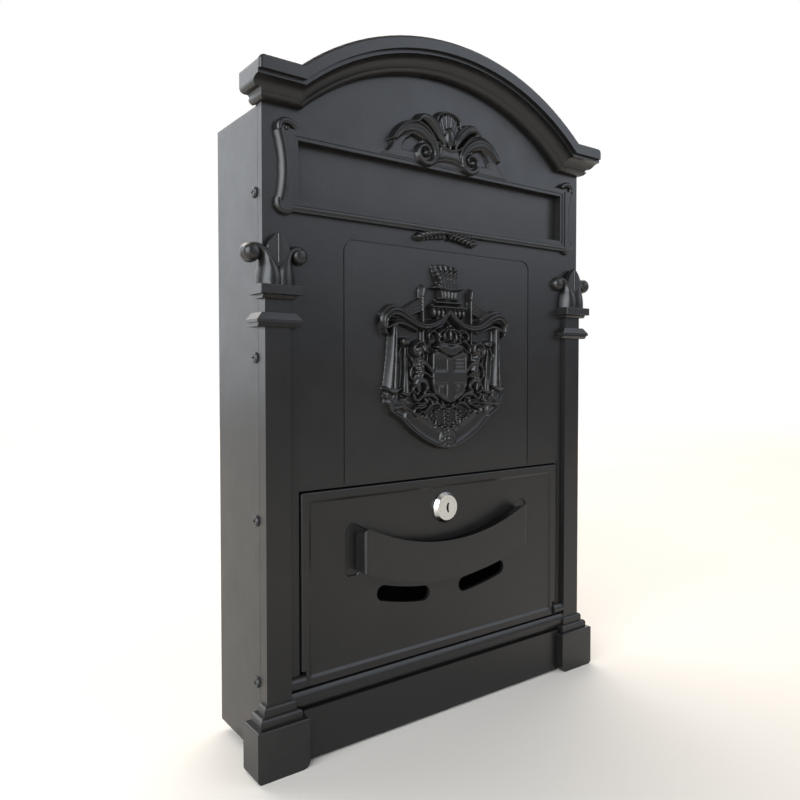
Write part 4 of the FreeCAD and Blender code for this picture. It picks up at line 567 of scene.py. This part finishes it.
def carve_crown(r):
    r.plate(whole([(0, 242), (6.6, 240.4), (10.0, 236.6), (8.8, 230.6), (0, 229.6)]), 3.2, 0.8, both=False)
    r.stroke([(8.8, 232.0), (4.4, 230.9), (0, 230.6)], (1.0, 1.1, 1.2), roll(7.3))
    r.stroke([(8.4, 233), (8.2, 237.4), (3.4, 240.2)], (0.9, 1.2, 0.7), roll(6.4))
    r.stroke([(4.2, 232.4), (4.6, 236.8), (1.6, 240)], (0.8, 1.1, 0.7), roll(6.9))
    r.ball((0, 236.4), (1.5, 3.9), 7.2, 3, both=False)
    r.ball((0, 241.9), (1.5, 1.5), 6.6, 2, both=False)
    for k in range(4):
        r.ball((2.6 * k, 233.4 + 0.2 * k * k), (0.7, 0.7), 7.6, 5.4)
    # fringed rim, cushion, banded cap, brim and plume
    r.plate(whole([(0, 253), (13.2, 253), (13.2, 248), (0, 247)]), 2.2, 0.6, both=False)
    for k in range(4):
        r.ball((1.75 + 3.3 * k, 249.5 + 0.14 * k), (1.5, 3.5), 6.0 - 0.1 * k, 1.6)
    r.stroke([(13.4, 253.4), (-13.4, 253.4)], (0.95, 1.25, 0.95), roll(6.9), both=False)
    r.stroke([(9.6, 256.2), (-9.6, 256.2)], (1.2, 1.7, 1.2), roll(6.0), both=False)
    r.stroke([(8.4, 258.6), (-8.4, 258.6)], (0.6, 0.8, 0.6), roll(6.4), both=False)
    r.plate(whole([(0, 264), (6.6, 264), (6.2, 258.8), (0, 258.8)]), 3.8, 0.6, both=False)
    for k in range(3):
        r.stroke([(2.6 * k, 259.8), (2.6 * k + (0.4 if k else 0), 263.2)],
                 (1.1, 0.8), roll(5.6), both=k > 0)
    brim = [(0, 269.4), (4.4, 268.8), (8.0, 267.6), (12.6, 265.2), (7.2, 264.2), (0, 263.4)]
    r.plate(whole(brim), 5.0, 0.8, both=False)
    r.stroke([(12.4, 265.3), (6.6, 264.9), (0, 264.3)], (0.4, 0.8, 0.9), roll(6.6))
    r.stroke([(8.6, 267.2), (4.4, 268.4), (0, 268.7)], (0.5, 0.7, 0.8), roll(6.0))
    for k in range(3):
        r.stroke([(2.4 * k + 1.2, 265.6), (2.2 * k + 1.2, 267.8 - 0.3 * k)], (0.6, 0.5), roll(6.4))
    for foot, tip in ((5, 6.6), (2.6, 2.6), (0.2, -1.6), (-2.2, -5.8), (-4.4, -10.2)):
        r.stroke([(foot - 1, 268.6), (0.45 * foot + 0.55 * tip, 273.6), (tip, 279.0 - 0.12 * abs(tip + 2))],
                 (1.5, 2.0, 1.0), leaf_back(6.0, 0.4), both=False)
        for k in range(3):
            share = 0.3 + 0.24 * k
            x, z = foot + (tip - foot) * share, 269 + 9 * share
            r.stroke([(x - 1.3, z - 1.2), (x + 1.2, z + 0.6)], (0.35, 0.35), roll(6.2), both=False)


def drawn_scroll_work():
    """Acanthus over the letter slot: two scrolled arms, a three-lobed palm and a bud between them."""
    r = Relief((-54, 336.5), (54, 374.6), 0.36)
    flank = [(53, 339), (50, 341.2), (46, 342.6), (43, 345.6), (41.4, 349), (40, 356), (34, 361), (27, 363),
             (20, 362), (13, 357), (9, 350), (13, 342.5), (20, 339)]
    r.plate(flank, 3.1, 0.9)
    r.plate(whole([(0, 352), (9, 352), (13, 341.5), (24, 339), (0, 339)]), 3.1, 0.8, both=False)
    recess = [(20.2, 344.8), (35.6, 344.8), (34.6, 348.4), (32, 351.8), (27.6, 354.6), (23, 354.4),
              (20.2, 352.6)]
    r.sink([recess], 2.2, 0.35)
    r.plate(whole([(0, 372.2), (5, 370.8), (8.4, 366.4), (8, 360), (0, 357)]), 3.6, 1.0, both=False)
    for foot, tip in (((1.3, 361), (2.2, 370.4)), ((3.6, 361), (5.8, 368.6))):
        r.stroke([foot, tip], (0.8, 1.2), roll(4.8))
    r.stroke([(9.4, 365.6), (8.2, 369.6), (4.4, 372), (0, 372.8)], (1.0, 1.3, 1.4, 1.4), roll(5.2))
    waist = [(0, 351), (7.8, 352.4), (8.8, 346.8), (13, 341.4), (6, 343.0), (0, 343.6)]
    r.plate(whole(waist), 5.2, 2.2, both=False)
    r.stroke([(9.6, 353.2), (5.6, 350.6), (0, 349.4)], (0.9, 1.3, 1.3), roll(6.4))
    r.stroke([(13, 340.6), (6, 342.8), (0, 343.5)], (0.8, 0.9), roll(5.4))
    # arms: a ridged band with a thin rim, curled under into a volute
    r.stroke([(40.4, 350.4), (36.8, 354.6), (32, 357.4), (26.4, 358.6), (19.8, 356.8), (13.6, 351.8),
              (10.9, 345.8), (13.2, 340.8), (18.4, 339.3), (23.2, 342.4), (23.0, 347.4), (18.6, 349.6),
              (14.9, 347.0), (16.4, 344.2)],
             (1.4, 2.6, 3.6, 4.2, 4.3, 3.9, 3.1, 2.5, 2.2, 2.0, 1.9, 1.6, 1.3, 0.9),
             ridges(6.2, 3, 0.38, 2.0))
    r.stroke([(42.4, 349.8), (39.4, 354.8), (35, 359), (29.6, 361.8), (24, 362.6), (18.2, 360.8),
              (13, 356.4), (9.4, 350.6), (8.6, 345)],
             (0.9, 1.1, 1.2, 1.2, 1.2, 1.1, 1.0, 0.9, 0.6), roll(5.8))
    r.ball((18.8, 345.0), (2.2, 2.1), 6.8, 2)
    # side lobes sweep down over the bud
    r.stroke([(24.6, 363), (21, 366.2), (15.4, 365.4), (10.2, 361.4), (6.6, 356.4), (4.0, 351)],
             (1.4, 2.6, 3.6, 3.6, 2.8, 0.9), ridges(6.8, 4, 0.34, 2.4))
    r.ball((0, 357.4), (4.2, 6.4), 7.2, 3.4, both=False)
    r.stroke([(0, 354), (0, 349.4)], (3.0, 0.6), roll(6.2), both=False)
    r.soften(1)
    return r.mesh("scroll_relief")


def drawn_garland():
    """Two short twisted ropes under the slot, with a knob at each outer end."""
    r = Relief((-26, 291.5), (26, 303), 0.27)
    r.stroke([(1.0, 299.2), (7, 298.6), (14, 297.2), (21, 295.4)],
             (1.2, 2.0, 2.5, 2.5), rope(5.0, 6.5, 0.45))
    r.ball((22.4, 295.2), (2.1, 2.1), 5.0)
    r.soften(1)
    return r.mesh("garland_relief")


# Floor and light

WHITE = (1.0, 1.0, 1.0)
ROOM = (0.12, 0.125, 0.145)
# Where the room turns into the white sweep, by the cosine to the way the camera looks
ROOM_EDGE = 0.4
SWEEP_EDGE = 0.78
FLOOR_HALF = 3.0
FLOOR_FADE = (1.3, 2.9)
FLOOR_COLOURS = ((0.3, (0.54, 0.507, 0.462)), (0.7, (0.56, 0.527, 0.482)))
OVERHEAD_COLOUR = (1.0, 0.92, 0.82)
CENTRE = (0, 0, 0.05)
# Name, place, target, size, radiance and colour
SOFTBOXES = (
    ("left_back_softbox", (-0.90, 1.10, 0.55), CENTRE, (1.1, 1.3), 2.7, (0.90, 0.95, 1.0)),
    ("left_softbox", (-1.40, -0.80, 0.50), CENTRE, (1.6, 1.4), 8.0, (0.90, 0.95, 1.0)),
    ("right_softbox", (1.05, -1.25, 0.98), CENTRE, (1.5, 1.5), 2.4, (0.82, 0.89, 1.0)),
    ("floor_softbox", (1.2, 2.1, 2.2), (1.1, 1.7, -0.2), (4.8, 2.6), 4.9, (1.0, 0.95, 0.885)),
)


def fade_out(tree):
    """Lets the floor thin out with distance from the object, so that no horizon shows."""
    output = next(node for node in tree.nodes if node.type == "OUTPUT_MATERIAL")
    painted = output.inputs["Surface"].links[0].from_socket
    distance = tree.nodes.new("ShaderNodeVectorMath")
    distance.operation = "LENGTH"
    tree.links.new(tree.nodes.new("ShaderNodeNewGeometry").outputs["Position"], distance.inputs[0])
    fade = tree.nodes.new("ShaderNodeMapRange")
    fade.interpolation_type = "SMOOTHSTEP"
    fade.inputs["From Min"].default_value, fade.inputs["From Max"].default_value = FLOOR_FADE
    tree.links.new(distance.outputs["Value"], fade.inputs["Value"])
    mix = tree.nodes.new("ShaderNodeMixShader")
    tree.links.new(fade.outputs["Result"], mix.inputs["Fac"])
    tree.links.new(painted, mix.inputs[1])
    tree.links.new(tree.nodes.new("ShaderNodeBsdfTransparent").outputs["BSDF"], mix.inputs[2])
    tree.links.new(mix.outputs["Shader"], output.inputs["Surface"])


def add_floor():
    """The plain pale floor, level with the foot of the part."""
    mesh = bpy.data.meshes.new("floor")
    signs = ((-1, -1), (1, -1), (1, 1), (-1, 1))
    corners = [(x * FLOOR_HALF, y * FLOOR_HALF, cad_box[0][2]) for x, y in signs]
    mesh.from_pydata(corners, [], [(0, 1, 2, 3)])
    floor = bpy.data.objects.new("floor", mesh)
    bpy.context.scene.collection.objects.link(floor)
    n = Nodes("pale_floor")
    n.to_shader("Base Color", n.ramp(n.noise(3.0, 2.0), FLOOR_COLOURS))
    n.to_shader("Roughness", 0.9)
    fade_out(n.tree)
    mesh.materials.append(n.material)


def area_light(name, place, target, size, radiance, colour):
    """A softbox; radiance is its brightness, whatever its size."""
    data = bpy.data.lights.new(name, "AREA")
    data.shape = "RECTANGLE"
    data.size, data.size_y = size
    data.energy = radiance * math.pi * size[0] * size[1]
    data.color = colour
    light = bpy.data.objects.new(name, data)
    bpy.context.scene.collection.objects.link(light)
    light.location = place
    light.rotation_euler = (Vector(target) - Vector(place)).to_track_quat("-Z", "Y").to_euler()


def add_backdrop_light():
    """A dim room with a white sweep behind the object, seen by the camera as white all round."""
    world = bpy.data.worlds.new("studio")
    bpy.context.scene.world = world
    world.use_nodes = True
    tree = world.node_tree
    towards = tree.nodes.new("ShaderNodeVectorMath")
    towards.operation = "DOT_PRODUCT"
    towards.inputs[1].default_value = (LOOK.x, LOOK.y, 0.0)
    tree.links.new(tree.nodes.new("ShaderNodeTexCoord").outputs["Generated"], towards.inputs[0])
    sweep = tree.nodes.new("ShaderNodeValToRGB")
    sweep.color_ramp.elements[0].position = ROOM_EDGE
    sweep.color_ramp.elements[0].color = (*ROOM, 1.0)
    sweep.color_ramp.elements[1].position = SWEEP_EDGE
    sweep.color_ramp.elements[1].color = (*WHITE, 1.0)
    tree.links.new(towards.outputs["Value"], sweep.inputs["Fac"])
    seen = tree.nodes.new("ShaderNodeMix")
    seen.data_type = "RGBA"
    tree.links.new(tree.nodes.new("ShaderNodeLightPath").outputs["Is Camera Ray"], seen.inputs[0])
    tree.links.new(sweep.outputs["Color"], seen.inputs[6])
    seen.inputs[7].default_value = (*WHITE, 1.0)
    tree.links.new(seen.outputs[2], tree.nodes["Background"].inputs["Color"])


def add_light():
    add_backdrop_light()
    data = bpy.data.lights.new("overhead", "SUN")
    data.energy = 0.5
    data.color = OVERHEAD_COLOUR
    data.angle = math.radians(60)
    light = bpy.data.objects.new("overhead", data)
    bpy.context.scene.collection.objects.link(light)
    light.location = (0, 0, 2)
    for softbox in SOFTBOXES:
        area_light(*softbox)
    bpy.context.scene.view_settings.view_transform = "Standard"


def add_piece(piece, material, slot, body, *replaced):
    """Gives a piece its finish and the body that it moves with."""
    piece.data.materials.append(material)
    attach(piece, body)
    if replaced:
        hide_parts(*replaced)


add_camera()
materials = make_materials()
dress_nodes(materials)
add_piece(drawn_crest(), materials["cast_front"], "cast_front", "case", "crest")
add_piece(drawn_scroll_work(), materials["cast_front"], "cast_front", "case")
add_piece(drawn_garland(), materials["cast_front"], "cast_front", "case")
add_floor()
add_light()
